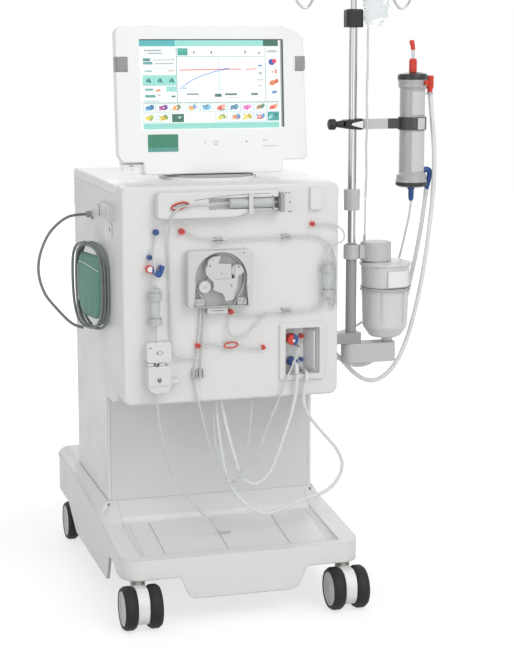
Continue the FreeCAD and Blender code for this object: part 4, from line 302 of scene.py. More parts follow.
def smooth_curve(name, points, diameter, material):
    """A round tube along one smooth spline whose control points are given in millimetres."""
    data = bpy.data.curves.new(name, "CURVE")
    data.dimensions = "3D"
    spline = data.splines.new("NURBS")
    spline.points.add(len(points) - 1)
    for point, place in zip(spline.points, points):
        point.co = (*at(*place), 1)
    spline.order_u = 3
    spline.use_endpoint_u = True
    spline.resolution_u = 6
    data.bevel_depth = diameter / 2000
    data.bevel_resolution = 3
    data.use_fill_caps = True
    data.materials.append(material)
    obj = bpy.data.objects.new(name, data)
    scene.collection.objects.link(obj)
    return obj


HOSE = surface("braided_hose", (238, 240, 240), rough=0.3, clear=0.12, ior=1.25, grain=0.1, change=4,
               blotch=60)
GREY_HOSE = surface("grey_hose", (128, 134, 131), rough=0.55, grain=0.3, grain_scale=1500, change=9,
                    blotch=90)
RIDERS = {"drip_line": "infusion_rod"}
CORD_LOOKS = {
    "cuff_hose": GREY_HOSE, "dialysate_hose_a": HOSE, "dialysate_hose_b": HOSE, "line_u3": HOSE,
    "line_u4": HOSE,
}
for name, (diameter, length, far_end, points) in CORD_SPECS.items():
    piece = smooth_curve("free_" + name, points, diameter, CORD_LOOKS.get(name, TUBE))
    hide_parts(name)
    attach(piece, RIDERS.get(name, "cabinet"))


def coil_points():
    """The cuff's hose in loose, uneven turns round the cuff, from its lower end outwards."""
    sine, cosine = math.sin(math.radians(10)), math.cos(math.radians(10))
    steps = 15
    points = []
    for index in range(int(3.5 * steps) + 1):
        turn = index / steps
        angle = math.radians(-78) + turn * math.tau
        spread = 1.035 + 0.035 * math.sin(turn * 2.1) + 0.01 * math.sin(index * 1.7)
        out = 7.2 * (turn - 1) + 0.8 * math.sin(index * 0.9)
        along, up = (
            half * spread * math.copysign(abs(share) ** 0.68, share)
            for half, share in ((91, math.cos(angle)), (97, math.sin(angle)))
        )
        points.append((-279 - along * sine - out * cosine, -112 + along * cosine - out * sine, 738 + up))
    return points


COIL = coil_points()
COIL_DIAMETER = 6.4
coil = smooth_curve("free_cuff_coil", COIL, COIL_DIAMETER, GREY_HOSE)
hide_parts("cuff_coil")
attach(coil, "cabinet")


# Building one by one

def turn(u, v, w):
    """The turn that lays a drawing's across, up and out along three directions."""
    return Matrix((u, v, w)).transposed().to_4x4()


FACING = {
    "front": turn((1, 0, 0), (0, 0, 1), (0, -1, 0)),
    "back": turn((-1, 0, 0), (0, 0, 1), (0, 1, 0)),
    "right": turn((0, 1, 0), (0, 0, 1), (1, 0, 0)),
    "left": turn((0, -1, 0), (0, 0, 1), (-1, 0, 0)),
    "up": turn((1, 0, 0), (0, 1, 0), (0, 0, 1)),
    "down": turn((1, 0, 0), (0, -1, 0), (0, 0, -1)),
}
FACING["screen"] = Matrix.Rotation(math.radians(-4), 4, "X") @ FACING["front"]
FACING["screen back"] = Matrix.Rotation(math.radians(-4), 4, "X") @ FACING["back"]
FACING["cuff"] = Matrix.Rotation(math.radians(10), 4, "Z") @ FACING["left"]


def spot(x, y, z, facing="front"):
    """A drawing place: millimetres across, up and out from a point of the machine."""
    return Matrix.Translation(at(x, y, z)) @ FACING[facing] @ Matrix.Scale(0.001, 4)


def on_panel(across, rise, out=0):
    """A drawing place on the front panel, counted up from its foot and out from its face."""
    return spot(across, PANEL_Y - out, PANEL_FOOT + rise)


def middle_of(points):
    """The mean of a flat outline's points."""
    return Vector((sum(p[0] for p in points) / len(points), sum(p[1] for p in points) / len(points)))


def box_outline(width, height, radius=0.0, across=0.0, up=0.0, steps=5):
    """A rectangle with round corners, as points."""
    if radius <= 0:
        corners = ((-1, -1), (1, -1), (1, 1), (-1, 1))
        return [(across + sx * width / 2, up + sy * height / 2) for sx, sy in corners]
    points = []
    for sx, sy, start in ((1, -1, -90), (1, 1, 0), (-1, 1, 90), (-1, -1, 180)):
        middle = (across + sx * (width / 2 - radius), up + sy * (height / 2 - radius))
        for step in range(steps + 1):
            angle = math.radians(start + 90 * step / steps)
            points.append((middle[0] + radius * math.cos(angle), middle[1] + radius * math.sin(angle)))
    return points


def disc_outline(radius, across=0.0, up=0.0, steps=28, tall=None):
    """A circle as points, or an oval where its half height is given too."""
    tall = radius if tall is None else tall
    angles = [math.tau * i / steps for i in range(steps)]
    return [(across + radius * math.cos(a), up + tall * math.sin(a)) for a in angles]


class Shape:
    """A mesh of several closed forms, drawn in millimetres."""

    def __init__(self, name):
        self.name = name
        self.mesh = bmesh.new()
        self.paint = None
        self.materials = []

    def number(self, material):
        if material not in self.materials:
            self.materials.append(material)
        return self.materials.index(material)

    def face(self, corners, number, colour=None):
        made = self.mesh.faces.new(corners)
        made.material_index = number
        if colour is not None:
            if self.paint is None:
                self.paint = self.mesh.loops.layers.float_color.new("paint")
            for loop in made.loops:
                loop[self.paint] = colour
        return made

    def skin(self, rows, number, colour=None):
        """Faces between rows of as many points, each row a closed ring."""
        for under, over in zip(rows, rows[1:]):
            for i in range(len(under)):
                j = (i + 1) % len(under)
                self.face((under[i], under[j], over[j], over[i]), number, colour)

    def ends(self, rows, number):
        self.face(list(reversed(rows[0])), number)
        self.face(rows[-1], number)

    def prism(self, outline, foot, top, where, material, shrink=0.0, colour=None):
        """A flat form with straight sides, its top edge drawn in by shrink."""
        number = self.number(material)
        middle = middle_of(outline)

        def drawn_in(point):
            away = Vector(point) - middle
            return middle + away * max(0, 1 - shrink / max(away.length, 0.01))

        levels = [(outline, foot), (outline, top - shrink)]
        if shrink:
            levels.append(([drawn_in(point) for point in outline], top))
        rings = [[self.mesh.verts.new(where @ Vector((u, v, up))) for u, v in line] for line, up in levels]
        self.skin(rings, number, colour)
        self.face(rings[-1], number, colour)
        self.face(list(reversed(rings[0])), number, colour)

    def lathe(self, profile, where, material, steps=40, ribs=0, rib=0.0, span=None):
        """A form turned round the out axis; radii within span are ribbed."""
        number = self.number(material)
        rings = []
        for radius, height in profile:
            if radius < 1e-6:
                rings.append([self.mesh.verts.new(where @ Vector((0, 0, height)))])
                continue
            ring = []
            for i in range(steps):
                angle = math.tau * i / steps
                here = radius
                if ribs and span[0] <= height <= span[1]:
                    here -= rib * (0.5 + 0.5 * math.cos(ribs * angle))
                ring.append(self.mesh.verts.new(
                    where @ Vector((here * math.cos(angle), here * math.sin(angle), height))))
            rings.append(ring)
        for under, over in zip(rings, rings[1:]):
            for i in range(steps):
                j = (i + 1) % steps
                if len(under) == 1:
                    self.face((under[0], over[j], over[i]), number)
                elif len(over) == 1:
                    self.face((under[i], under[j], over[0]), number)
                else:
                    self.face((under[i], under[j], over[j], over[i]), number)

    def disc(self, radius, across, up, steps, foot, top, where, material, tall=None):
        self.prism(disc_outline(radius, across, up, steps, tall), foot, top, where, material)

    def plate(self, size, foot, top, where, material, shrink=0.0):
        """A flat box with round corners; size holds what box_outline takes."""
        self.prism(box_outline(*size), foot, top, where, material, shrink)

    def wrap(self, radius, thick, start, end, foot, top, where, material, steps=14):
        """A thin curved plate round the out axis, between two angles in degrees."""
        number = self.number(material)
        rows = []
        for i in range(steps + 1):
            angle = math.radians(start + (end - start) * i / steps)
            u, v = math.cos(angle), math.sin(angle)
            section = [(radius, foot), (radius + thick, foot), (radius + thick, top), (radius, top)]
            rows.append([self.mesh.verts.new(where @ Vector((r * u, r * v, h))) for r, h in section])
        self.skin(rows, number)
        self.ends(rows, number)

    def tube(self, points, radius, material, steps=12, taper=None, where=None):
        """A round bar through points, smoothed, with closed ends."""
        number = self.number(material)
        line = smoothed(points)
        if where is None:
            places = [at(*p) for p in line]
        else:
            places = [where @ Vector(p) for p in line]
        rings = []
        side = None
        for i, place in enumerate(places):
            ahead = (places[min(i + 1, len(places) - 1)] - places[max(i - 1, 0)]).normalized()
            if side is None:
                side = ahead.orthogonal().normalized()
            side = (side - ahead * side.dot(ahead)).normalized()
            other = ahead.cross(side)
            share = i / (len(places) - 1)
            here = radius / 1000 * (1 if taper is None else taper(share))
            rings.append([
                self.mesh.verts.new(place + (side * math.cos(a) + other * math.sin(a)) * here)
                for a in (math.tau * k / steps for k in range(steps))
            ])
        self.skin(rings, number)
        self.ends(rings, number)

    def done(self, body, sharp=38, replaces=()):
        """The finished piece, riding on a body."""
        bmesh.ops.recalc_face_normals(self.mesh, faces=self.mesh.faces)
        limit = math.radians(sharp)
        for edge in self.mesh.edges:
            edge.smooth = len(edge.link_faces) == 2 and edge.calc_face_angle(0) < limit
        for made in self.mesh.faces:
            made.smooth = True
        data = bpy.data.meshes.new(self.name)
        self.mesh.to_mesh(data)
        self.mesh.free()
        for material in self.materials:
            data.materials.append(material)
        obj = bpy.data.objects.new(self.name, data)
        scene.collection.objects.link(obj)
        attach(obj, body)
        if replaces:
            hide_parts(*replaces)
        return obj


def smoothed(points, steps=4):
    """More points on a smooth line through the given ones."""
    if len(points) < 3:
        return [tuple(p) for p in points]
    line = []
    rows = [Vector(p) for p in points]
    rows = [rows[0] * 2 - rows[1]] + rows + [rows[-1] * 2 - rows[-2]]
    for a, b, c, d in zip(rows, rows[1:], rows[2:], rows[3:]):
        square, cube = 2 * a - 5 * b + 4 * c - d, 3 * b - a - 3 * c + d
        for step in range(steps):
            t = step / steps
            line.append(tuple(0.5 * (2 * b + (c - a) * t + square * t ** 2 + cube * t ** 3)))
    line.append(tuple(rows[-2]))
    return line


# Materials of the CAD nodes

CABINET = surface("cabinet_paint", (226, 226, 224), rough=0.4, grain=0.08, change=2, blotch=3, edge=0.0012)
PEDESTAL = surface("pedestal_paint", (218, 218, 216), grain=0.08, change=2, blotch=3)
TOP = surface("top_paint", (236, 236, 234), rough=0.4, grain=0.08, change=2, blotch=4)
BASE = surface("base_shell", (230, 230, 228), rough=0.46, grain=0.16, grain_scale=700, change=2,
               blotch=4, edge=0.005)
MONITOR = surface("monitor_shell", (245, 245, 244), rough=0.38, grain=0.06, change=1, blotch=5, edge=0.001)
STAND = surface("stand_grey", (176, 176, 174), grain=0.08, blotch=6)
PUMP = surface("pump_shell", (208, 208, 206), rough=0.4, grain=0.1, blotch=9, edge=0.0008)
LIGHT = surface("light_plastic", (222, 222, 220), rough=0.4, grain=0.1, blotch=12, edge=0.0006)
ROTOR = surface("rotor_plastic", (206, 206, 204), rough=0.38, grain=0.1, blotch=14, edge=0.0005)
GREY = surface("grey_plastic", (164, 165, 163), rough=0.45, blotch=14)
DARK_GREY = surface("dark_grey_plastic", (104, 106, 106), rough=0.45, blotch=14)
CLIP = surface("clip_plastic", (203, 204, 203), rough=0.3, grain=0.08, clear=0.15, blotch=20)
ARM = surface("arm_grey", (196, 197, 195), grain=0.1, blotch=9, edge=0.0008)
CUP = surface("cup_plastic", (214, 216, 214), rough=0.3, grain=0.03, coat=0.2, blotch=8)
CLEAR = surface("clear_plastic", (228, 231, 231), rough=0.1, grain=0.03, clear=0.55, ior=1.25, blotch=20)
BLACK = surface("black_plastic", (17, 18, 19), grain=0.25, change=4, blotch=25, edge=0.003)
RED = surface("red_plastic", (216, 60, 42), rough=0.34, grain=0.08, change=8, blotch=60)
BLUE = surface("blue_plastic", (34, 78, 146), rough=0.34, grain=0.08, change=8, blotch=60)
WHITE = surface("white_plastic", (240, 240, 239), rough=0.4, grain=0.08, change=2, blotch=20)
FRAME_PAINT = surface("frame_paint", (92, 94, 95), rough=0.5, grain=0.2, change=5, blotch=12)
METAL = surface("module_metal", (176, 178, 180), rough=0.4, metal=0.9, grain=0.1, blotch=9)
STEEL = surface("pole_steel", (176, 178, 180), rough=0.14, metal=1.0, grain=0.02, change=4, blotch=9)
LABEL = surface("bare_label", (238, 238, 237), rough=0.5, grain=0.05, change=1, blotch=20)
SEAM = surface("seam_shadow", (70, 71, 71), rough=0.7, grain=0.1, blotch=20)


def two_way(name, first, second, mask):
    """Two finished looks on one node, parted by a mask that is built from its coordinates."""
    made = first.copy()
    made.name = name
    sh = Shading(made)
    other = sh.nodes.new("ShaderNodeBsdfPrincipled")
    source = second.node_tree.nodes["Principled BSDF"]
    for socket in source.inputs:
        if not socket.is_linked and hasattr(socket, "default_value") and socket.name in other.inputs:
            other.inputs[socket.name].default_value = socket.default_value
    colour_from = source.inputs["Base Color"].links[0].from_node
    low, high = colour_from.inputs[6].default_value[:], colour_from.inputs[7].default_value[:]
    sh.put(other, "Base Color", sh.mix(sh.noise(10, 3), low, high))
    rough_from = source.inputs["Roughness"].links[0].from_node
    least, most = (rough_from.inputs[key].default_value for key in ("To Min", "To Max"))
    sh.put(other, "Roughness", sh.spread(sh.noise(40, 3), least, most, 0.3, 0.7))
    joined = sh.blend(mask(sh), sh.output.inputs[0].links[0].from_socket, other.outputs[0])
    sh.links.new(joined, sh.output.inputs[0])
    return made


def dress(node, material):
    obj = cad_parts[node]
    obj.data.materials.clear()
    obj.data.materials.append(material)
    for polygon in obj.data.polygons:
        polygon.material_index = 0


def row_x(across):
    return (across + SHIFT.x) / 1000


def past(axis, limit, how="GREATER_THAN"):
    """A mask that is 1 past a limit on one axis, in metres of the row frame."""
    return lambda sh: sh.math(how, sh.axes()[axis], limit)


def away_from(sh, y, z):
    """How far a point is from a line along X, in metres."""
    place = at(0, y, z)
    axes = sh.axes()
    return sh.length(sh.math("SUBTRACT", axes[1], place.y), sh.math("SUBTRACT", axes[2], place.z))


TYRE = surface("wheel_tyre", (17, 18, 19), rough=0.62, grain=0.35, grain_scale=700, change=5, blotch=40)
HUB = surface("wheel_hub", (198, 198, 196), grain=0.1, blotch=14)
STEM = surface("stem_metal", (168, 166, 158), rough=0.4, metal=0.5, grain=0.08, blotch=18)
AXLE_HEIGHT = 50
HUB_RADIUS = 0.0391
STEM_FOOT = 0.0965
AXLES_Y = {"front_left": -441, "front_right": -441, "rear_left": 283, "rear_right": 283}
for corner, deep in AXLES_Y.items():
    dress("caster_wheels_" + corner, two_way(
        "wheel_" + corner, TYRE, HUB,
        lambda sh, deep=deep: sh.math("LESS_THAN", away_from(sh, deep, AXLE_HEIGHT), HUB_RADIUS)))
    dress("caster_housing_" + corner, two_way("housing_" + corner, WHITE, STEM, past(2, STEM_FOOT)))

POLE_GREY = surface("pole_grey", (158, 159, 156), rough=0.36, grain=0.06, blotch=9)
SLEEVE = surface("sleeve_grey", (196, 197, 195), rough=0.4, grain=0.08, blotch=14)
GREY_TUBE_TOP, COLLAR_FOOT = 0.833, 1.3375
SLEEVE_SPAN = (0.9105, 0.9615)
JAW_END, BAR_END = 344.5, 409

LOOKS = {
    "base_cover": BASE, "base_frame": FRAME_PAINT, "cabinet_panels": CABINET, "pedestal_panel": PEDESTAL,
    "top_cover": TOP, "front_fascia": CABINET, "hydraulic_unit": GREY, "electrical_modules": METAL,
    "monitor_stand": STAND, "monitor_bezel": MONITOR, "monitor_rear": MONITOR, "pump_housing": PUMP,
    "syringe_pump_body": LIGHT, "syringe_pusher": GREY, "pump_rotor": ROTOR, "level_detector": LIGHT,
    "venous_clamp": LIGHT, "clamp_lever": LIGHT, "drip_chambers": CLEAR, "panel_clips": CLIP,
    "recess_frame": LIGHT, "port_flap": CABINET, "pole_rod": STEEL, "clamp_knob": BLACK,
    "cartridge_head": ARM, "cartridge_arm": ARM, "cartridge_cup": CUP, "blood_lines": TUBE,
}
for node, material in LOOKS.items():
    dress(node, material)

BAND = surface("band_grey", (62, 63, 63), rough=0.32, grain=0.06, change=8, blotch=9)
BAR = surface("bar_grey", (198, 199, 198), rough=0.3, grain=0.05, blotch=9)
SHELL = surface("dialyser_shell", (176, 177, 176), rough=0.24, grain=0.05, coat=0.3, change=4, blotch=12)
DARK = surface("dialyser_dark", (58, 61, 62), rough=0.28, clear=0.15, ior=1.35, grain=0.05, change=8,
               blotch=30)
GLASS = surface("screen_glass", (236, 243, 242), rough=0.18, grain=0.01, change=1, blotch=3)
FLOOR_GREY = surface("race_grey", (190, 191, 190), rough=0.45, grain=0.1, blotch=9)
# A paler grey painted on the dialyser's shell and clamp band as a painted highlight, on the side that faces
# the key light.
DIALYSER_HIGHLIGHT = surface("dialyser_painted_highlight", (206, 207, 206), rough=0.4, grain=0.05, change=2, blotch=20)
BARREL = surface("syringe_clear", (222, 224, 224), rough=0.14, clear=0.35, ior=1.25, grain=0.03, blotch=20)
SOFT_WHITE = surface("soft_white", (214, 214, 212), grain=0.08, change=2, blotch=20)
TAB = surface("tab_grey", (148, 149, 148), rough=0.3, grain=0.06, blotch=9)


RACE_RADIUS = 0.0612
MOUTH_SIDE, MOUTH_FOOT = 0.0642, -0.0622
RACE_FRONT_Y = -364.5
TAB_START, TAB_SPAN = 0.2008, (1.2365, 1.2715)


def race_mask(sh):
    """1 on the floor and the walls of the pump's race and of its mouth."""
    axes = sh.axes()
    middle = at(-34, 0, 778)
    across = sh.math("SUBTRACT", axes[0], middle.x)
    up = sh.math("SUBTRACT", axes[2], middle.z)
    inside = sh.math("LESS_THAN", sh.length(across, up), RACE_RADIUS)
    mouth = sh.times(sh.within(across, -MOUTH_SIDE, MOUTH_SIDE), sh.within(up, MOUTH_FOOT, 0))
    either = sh.math("MAXIMUM", inside, mouth)
    return sh.times(either, sh.math("GREATER_THAN", axes[1], at(0, RACE_FRONT_Y, 0).y))


def tab_mask(sh):
    """1 on the two grey light tabs at the monitor's edges."""
    axes = sh.axes()
    aside = sh.math("ABSOLUTE", sh.math("SUBTRACT", axes[0], row_x(0)))
    return sh.times(sh.math("GREATER_THAN", aside, TAB_START), sh.within(axes[2], *TAB_SPAN))


pole = two_way("pole_lower", STEEL, POLE_GREY, past(2, GREY_TUBE_TOP, "LESS_THAN"))
pole = two_way("pole_sleeve", pole, SLEEVE, lambda sh: sh.within(sh.axes()[2], *SLEEVE_SPAN))
dress("pole_tube", two_way("pole_tube", pole, BLACK, past(2, COLLAR_FOOT)))
jaw = two_way("clamp_first", BLACK, BAR, past(0, row_x(JAW_END)))
dress("dialyser_clamp", two_way("dialyser_clamp", jaw, BAND, past(0, row_x(BAR_END))))
dress("dialyser_shell", SHELL)
dress("syringe_barrel", BARREL)
for node in ("syringe_clip", "pump_roller_left", "pump_roller_right"):
    dress(node, SOFT_WHITE)


def box_mask(sh):
    """1 on the clip box high on the left side."""
    axes = sh.axes()
    front = sh.math("LESS_THAN", axes[1], at(0, -130, 0).y)
    return sh.times(front, sh.math("GREATER_THAN", axes[2], 0.85))


dress("side_fittings", two_way("side_fittings", GREY, LIGHT, box_mask))
dress("monitor_glass", GLASS)
dress("pump_housing", two_way("pump_housing", PUMP, FLOOR_GREY, race_mask))
dress("monitor_bezel", two_way("monitor_bezel", MONITOR, TAB, tab_mask))

# Ends of the dialyser and its holder

ends = Shape("dialyser_fittings")
foot = spot(472, -240, 962, "up")
ends.lathe([(0, 0), (14, 0), (30, 1), (37, 5), (38, 8), (38, 11), (36.6, 13), (0, 13)], foot, DARK, 48)
ends.lathe([(0, 13.05), (37.4, 13.05), (37.4, 17), (36.4, 19), (0, 19)], foot, SHELL, 48)
ends.lathe([(0, -33), (4, -33), (5.6, -30), (6.6, -27), (6.6, -6), (8.5, -5), (8.5, -1), (6, 0), (0, 0)],
           foot, BLUE, 40, 9, 1.2, (-29, -7))
head = spot(472, -240, 1230, "up")
ends.lathe([(0, -13), (35.8, -13), (36.2, -10), (35.8, -4), (33, 0), (20, 3), (8, 5), (0, 5)], head, DARK, 48)
ends.lathe([(0, -13.4), (35, -13.4), (35, -20), (34, -22), (0, -22)], head, SHELL, 48)
ends.lathe([(0, 4), (8.6, 4), (9.4, 8), (9.4, 30), (8, 35), (4, 36), (0, 36)],
           head, RED, 48, 10, 1.3, (7, 31))
ends.lathe([(0, 35.5), (4.6, 35.5), (3.6, 40), (4.2, 46), (3.8, 58), (0, 58)], head, CLEAR, 20)
ends.tube([(472, -240, 1286), (470.4, -240, 1296), (467.2, -240, 1309)], 6.2, RED,
          taper=lambda s: 0.8 + 0.2 * s - 1.2 * max(0, s - 0.85))
side = spot(516, -240, 1190, "up")
ends.lathe([(0, -4), (6.4, -4), (6.4, 4), (8.2, 5), (9, 9), (9, 32), (7.4, 36), (0, 36)],
           side, RED, 44, 9, 1.1, (8, 33))
ends.lathe([(0, -9), (8.4, -9), (8.8, -4), (7, -3.5), (0, -3.5)], side, CLEAR, 28)
ends.lathe([(0, 0), (5.6, 0), (5.6, 13), (0, 13)], spot(504.4, -240, 1210, "right"), CLEAR, 24)
ends.lathe([(0, 0), (5, 0), (6, 3), (6, 15), (4.6, 18), (0, 18)],
           spot(493, -262, 1210), RED, 30, 8, 0.8, (3, 15))
ends.tube([(502.4, -240, 1002), (513, -240, 1003), (519, -240, 996), (517, -239, 978), (512, -238.4, 957)],
          6, BLUE, taper=lambda s: 1.25 - 0.3 * s)
ends.lathe([(0, 0), (5.2, 0), (6.4, 3), (5.4, 7), (0, 7)], spot(499, -240, 1002, "right"), RED, 24)
ends.done("cabinet", replaces=["dialyser_ends"])

# Painted highlights: paler vertical strips on the dialyser's shell above and below its clamp, and a patch on
# the dark clamp band, on the side that faces the key light. The small four-sided prism is a real label.
highlights_and_label = Shape("dialyser_highlights_and_label")
highlights_and_label.wrap(30.1, 0.35, -112, -38, 26, 122, spot(472, -240, 975, "up"), DIALYSER_HIGHLIGHT)
highlights_and_label.wrap(30.1, 0.35, -112, -38, 160, 214, spot(472, -240, 975, "up"), DIALYSER_HIGHLIGHT)
highlights_and_label.wrap(34.1, 0.35, -88, -50, 1.5, 28.5, spot(472, -240, 1099, "up"), DIALYSER_HIGHLIGHT)
highlights_and_label.prism([(-8, -2), (20, -9.5), (21, 8), (-5, 3)], 0, 0.5, spot(322, -255.1, 1114), LABEL)
highlights_and_label.done("cabinet")

# Caps, clamps and couplings on the lines

PIPES = Shape("line_caps")


def ribbed_cap(where, radius, length, material, ribs=8):
    """A twist cap: a narrow neck, then a ribbed grip with a rounded end."""
    PIPES.lathe([(0, 0), (radius * 0.55, 0), (radius * 0.6, length * 0.24), (radius * 0.9, length * 0.3),
                 (radius, length * 0.4), (radius, length * 0.88), (radius * 0.82, length), (0, length)],
                where, material, 48, ribs, radius * 0.3, (length * 0.35, length * 0.9))
    PIPES.disc(radius * 0.3, 0, 0, 12, length + 0.02, length + 0.3, where, SEAM)


CAPS = [
    (-179, 396, 0, 7.5, 13, BLUE), (-194, 340, 0, 6.2, 12, BLUE), (-120, 396, 0, 7.5, 14, RED),
    (189, 404, 0, 5.8, 13, RED), (-84, 134, 0, 6.4, 14, RED), (-7, 209, 4, 6.5, 12, RED),
    (71, 122, 0, 5.8, 13, RED), (176, 136, -RECESS_DEPTH, 6, 12, RED),
    (176, 81, -RECESS_DEPTH, 5.4, 12, BLUE),
]
for across, rise, out, radius, length, material in CAPS:
    ribbed_cap(on_panel(across, rise, out), radius, length, material)
for across, rise, radius, length, ring in ((149, 132, 13, 28, RED), (150, 79, 11.5, 30, BLUE)):
    where = on_panel(across, rise, -RECESS_DEPTH)
    PIPES.lathe([(0, 0), (radius * 0.7, 0), (radius * 0.7, 6), (radius, 7), (radius, length - 2),
                 (radius * 0.9, length), (radius * 0.5, length + 0.4), (0, length + 0.4)],
                where, ring, 60, 18, 1.0, (6.9, length - 1.9))
upper = on_panel(149, 132, -RECESS_DEPTH)
PIPES.wrap(12.6, 1.0, -80, 80, 8, 28, upper, BLUE, 16)
half_turn = [math.radians(-80 + 160 * i / 16) for i in range(17)]
PIPES.prism([(13.2 * math.cos(a), 13.2 * math.sin(a)) for a in half_turn], 28.1, 29.2, upper, BLUE)
PIPES.disc(3.4, 2, -2, 14, 29.25, 30, upper, WHITE)
for across, rise, radius, tip, height in ((167, 115, 4, 2, 11), (153, 59, 3.8, 2, 11), (176, 59, 4, 3, 10.5)):
    PIPES.lathe([(0, 0), (radius, 0), (radius, 10), (tip, height), (0, height)],
                on_panel(across, rise, -RECESS_DEPTH), CLIP, 20)
for diameter, route in (
    (9, [(150, -326, 569), (150, -343, 569), (150, -353.5, 562), (150, -356.5, 548)]),
    (7, [(176, -309.1, 549), (176, -330, 549), (175.4, -346, 548.8), (174, -356, 542), (172, -359, 531)]),
):
    PIPES.tube(route, diameter / 2, HOSE)
ring = on_panel(-195, 314)
PIPES.lathe([(0, 0), (7, 0), (9, 3), (9, 16), (0, 16)], ring, RED, 36, 9, 0.7, (3, 15))
PIPES.lathe([(0, 16.05), (6.6, 16.05), (6, 19), (0, 19)], ring, WHITE, 28)
cluster = on_panel(-179, 305)
PIPES.lathe([(0, 0), (6, 0), (7, 4), (7, 30), (5, 32), (0, 32)], cluster, BLUE, 36, 8, 0.9, (5, 29))
PIPES.tube([(-190, -352, 806), (-184, -357, 798), (-176, -360, 790), (-170, -358, 800), (-167, -352, 807)],
           4.6, BLUE)
PIPES.lathe([(0, 0), (4, 0), (5.5, 4), (5.5, 20), (4.4, 22), (0, 22)], on_panel(-168, 317),
            BLUE, 30, 8, 0.7, (5, 19))
pinch = on_panel(-130, 456, 30)
PIPES.plate((40, 5, 2.4, 0, -4), 0, 5.6, pinch, CLIP, 1)


def oval(long, tall, lean, out):
    """A closed ring of points, lying nearly flat on the panel."""
    points = []
    for i in range(25):
        angle = math.tau * i / 24
        points.append((long * math.cos(angle), tall * math.sin(angle) + lean * math.cos(angle), out))
    return points


PIPES.tube(oval(19, 7, 4, 4), 1.9, RED, 8, where=pinch)
PIPES.tube(oval(18, 5.4, 4, 5.4), 0.7, SEAM, 6, where=pinch)
branch = on_panel(-7, 132, 6)
PIPES.plate((34, 13, 5.8), 0, 6, branch, CLIP, 1.4)
PIPES.tube(oval(16, 6.4, 0.6, 6.4), 1.7, RED, 8, where=branch)
PIPES.done("cabinet", replaces=["line_fittings"])


def connector(name, place, way, body, material, length=24, radius=3.6):
    """A luer end on a free line, along the line's last direction."""
    made = Shape(name)
    turned = Vector(way).normalized().to_track_quat("Z", "Y").to_matrix().to_4x4()
    where = Matrix.Translation(at(*place)) @ turned @ Matrix.Scale(0.001, 4)
    made.lathe([(0, 0), (3.1, 0), (radius, 3), (radius, length * 0.45), (radius * 0.66, length * 0.5),
                (radius * 0.66, length * 0.7), (radius * 0.94, length * 0.74), (radius * 0.94, length - 1.5),
                (radius * 0.7, length), (0, length)],
               where, material, 28, 7, 0.5, (2, length * 0.46))
    return made.done(body)


EXTRAS = {
    "drip_line": connector("drip_line_luer", (352, -249, 852), (0, 2, -43), "infusion_rod", CLIP),
    "line_v1": connector("return_line_luer", (-17, -300, 164.6), (1, 0.06, 0.03), "cabinet", CLIP, 22, 3.3),
}
CORD_SPECS["cuff_coil"] = (COIL_DIAMETER, 2.225, "object", COIL)

# The moulded shoulders of the base

shoulders = Shape("base_shoulders")


def rim_top(y):
    """How high the outer rim of the base is, this far from the middle."""
    if y < -139:
        return 154 + 30 * (y + 446) / 307
    return min(208, 184 + 32 * (y + 139) / 439)


def shoulder_row(side, y, inner):
    """One section of the shoulder: from its inner edge over the rim, and back under it."""
    top = rim_top(y)
    foot = 219 if inner > 250 else max(top + 1, 216.6 - 30 * (-139 - y) / 57)
    foot = top + 1 + (foot - top - 1) * min(1, max(0, (y + 212) / 20))
    bump = 5 * math.exp(-((y + 158) / 20) ** 2)
    row = []
    for step in range(13):
        share = step / 12
        fall = share * share * (3 - 2 * share)
        across = inner + (282.6 - inner) * share
        height = foot + (top - 4 - foot) * fall + bump * math.sin(math.pi * min(1, share * 1.1)) ** 2
        height -= 160 * max(0, share - 0.85) ** 2
        row.append((side * across, y, height))
    row += [(side * 281.5, y, top - 14), (side * inner, y, top - 14)]
    return [at(*place) for place in row]


def loft(shape, rows, material):
    """A closed form through sections with as many points each."""
    number = shape.number(material)
    rings = [[shape.mesh.verts.new(place) for place in row] for row in rows]
    shape.skin(rings, number)
    shape.ends(rings, number)


def tray_floor(y):
    return 142 + 34 * (y + 410) / 214


def hollow(wall, edge, reach, floor, sign):
    """A concave corner: from an edge down to a floor, as pairs of across and up."""
    curve = []
    for step in range(9):
        angle = math.radians(90 * step / 8)
        curve.append((wall - sign * reach * (1 - math.cos(angle)), edge - (edge - floor) * math.sin(angle)))
    return curve + [(wall - sign * reach, floor - 2), (wall + sign * 1, floor - 2), (wall + sign * 1, edge)]


for side in (-1, 1):
    loft(shoulders, [shoulder_row(side, -212 + 4 * i, 234.5) for i in range(20)], BASE)
    rear = [-140 + 8 * i for i in range(58)] + [340, 370, 400, 416]
    loft(shoulders, [shoulder_row(side, y, 256.8) for y in rear], BASE)
    cove = []
    for i in range(25):
        y = -411 + 9 * i
        section = hollow(236 * side, rim_top(y) + 0.25, 15, tray_floor(y) + 0.3, side)
        cove.append([at(x, y, z) for x, z in section])
    loft(shoulders, cove, BASE)
front = []
for i in range(21):
    x = -236 + 23.6 * i
    front.append([at(x, y, z) for y, z in hollow(-410, rim_top(-410) + 0.25, 15, tray_floor(-396) + 0.3, -1)])
loft(shoulders, front, BASE)
shoulders.done("cabinet", sharp=50)

# The picture on the screen, without any writing


def painted_light(name, strength):
    """A lit surface whose colour is painted on its faces, a little uneven as a panel's backlight is."""
    sh = Shading(bpy.data.materials.new(name))
    paint = sh.add("ShaderNodeAttribute", attribute_name="paint")
    uneven = sh.mix(sh.spread(sh.noise(14, 2), 0.0, 0.05), paint.outputs["Color"], (0.9, 0.95, 1, 1))
    sh.shade(Base_Color=uneven, Emission_Color=uneven, Emission_Strength=strength,
             Roughness=sh.spread(sh.noise(60, 2), 0.14, 0.22))
    return sh.material


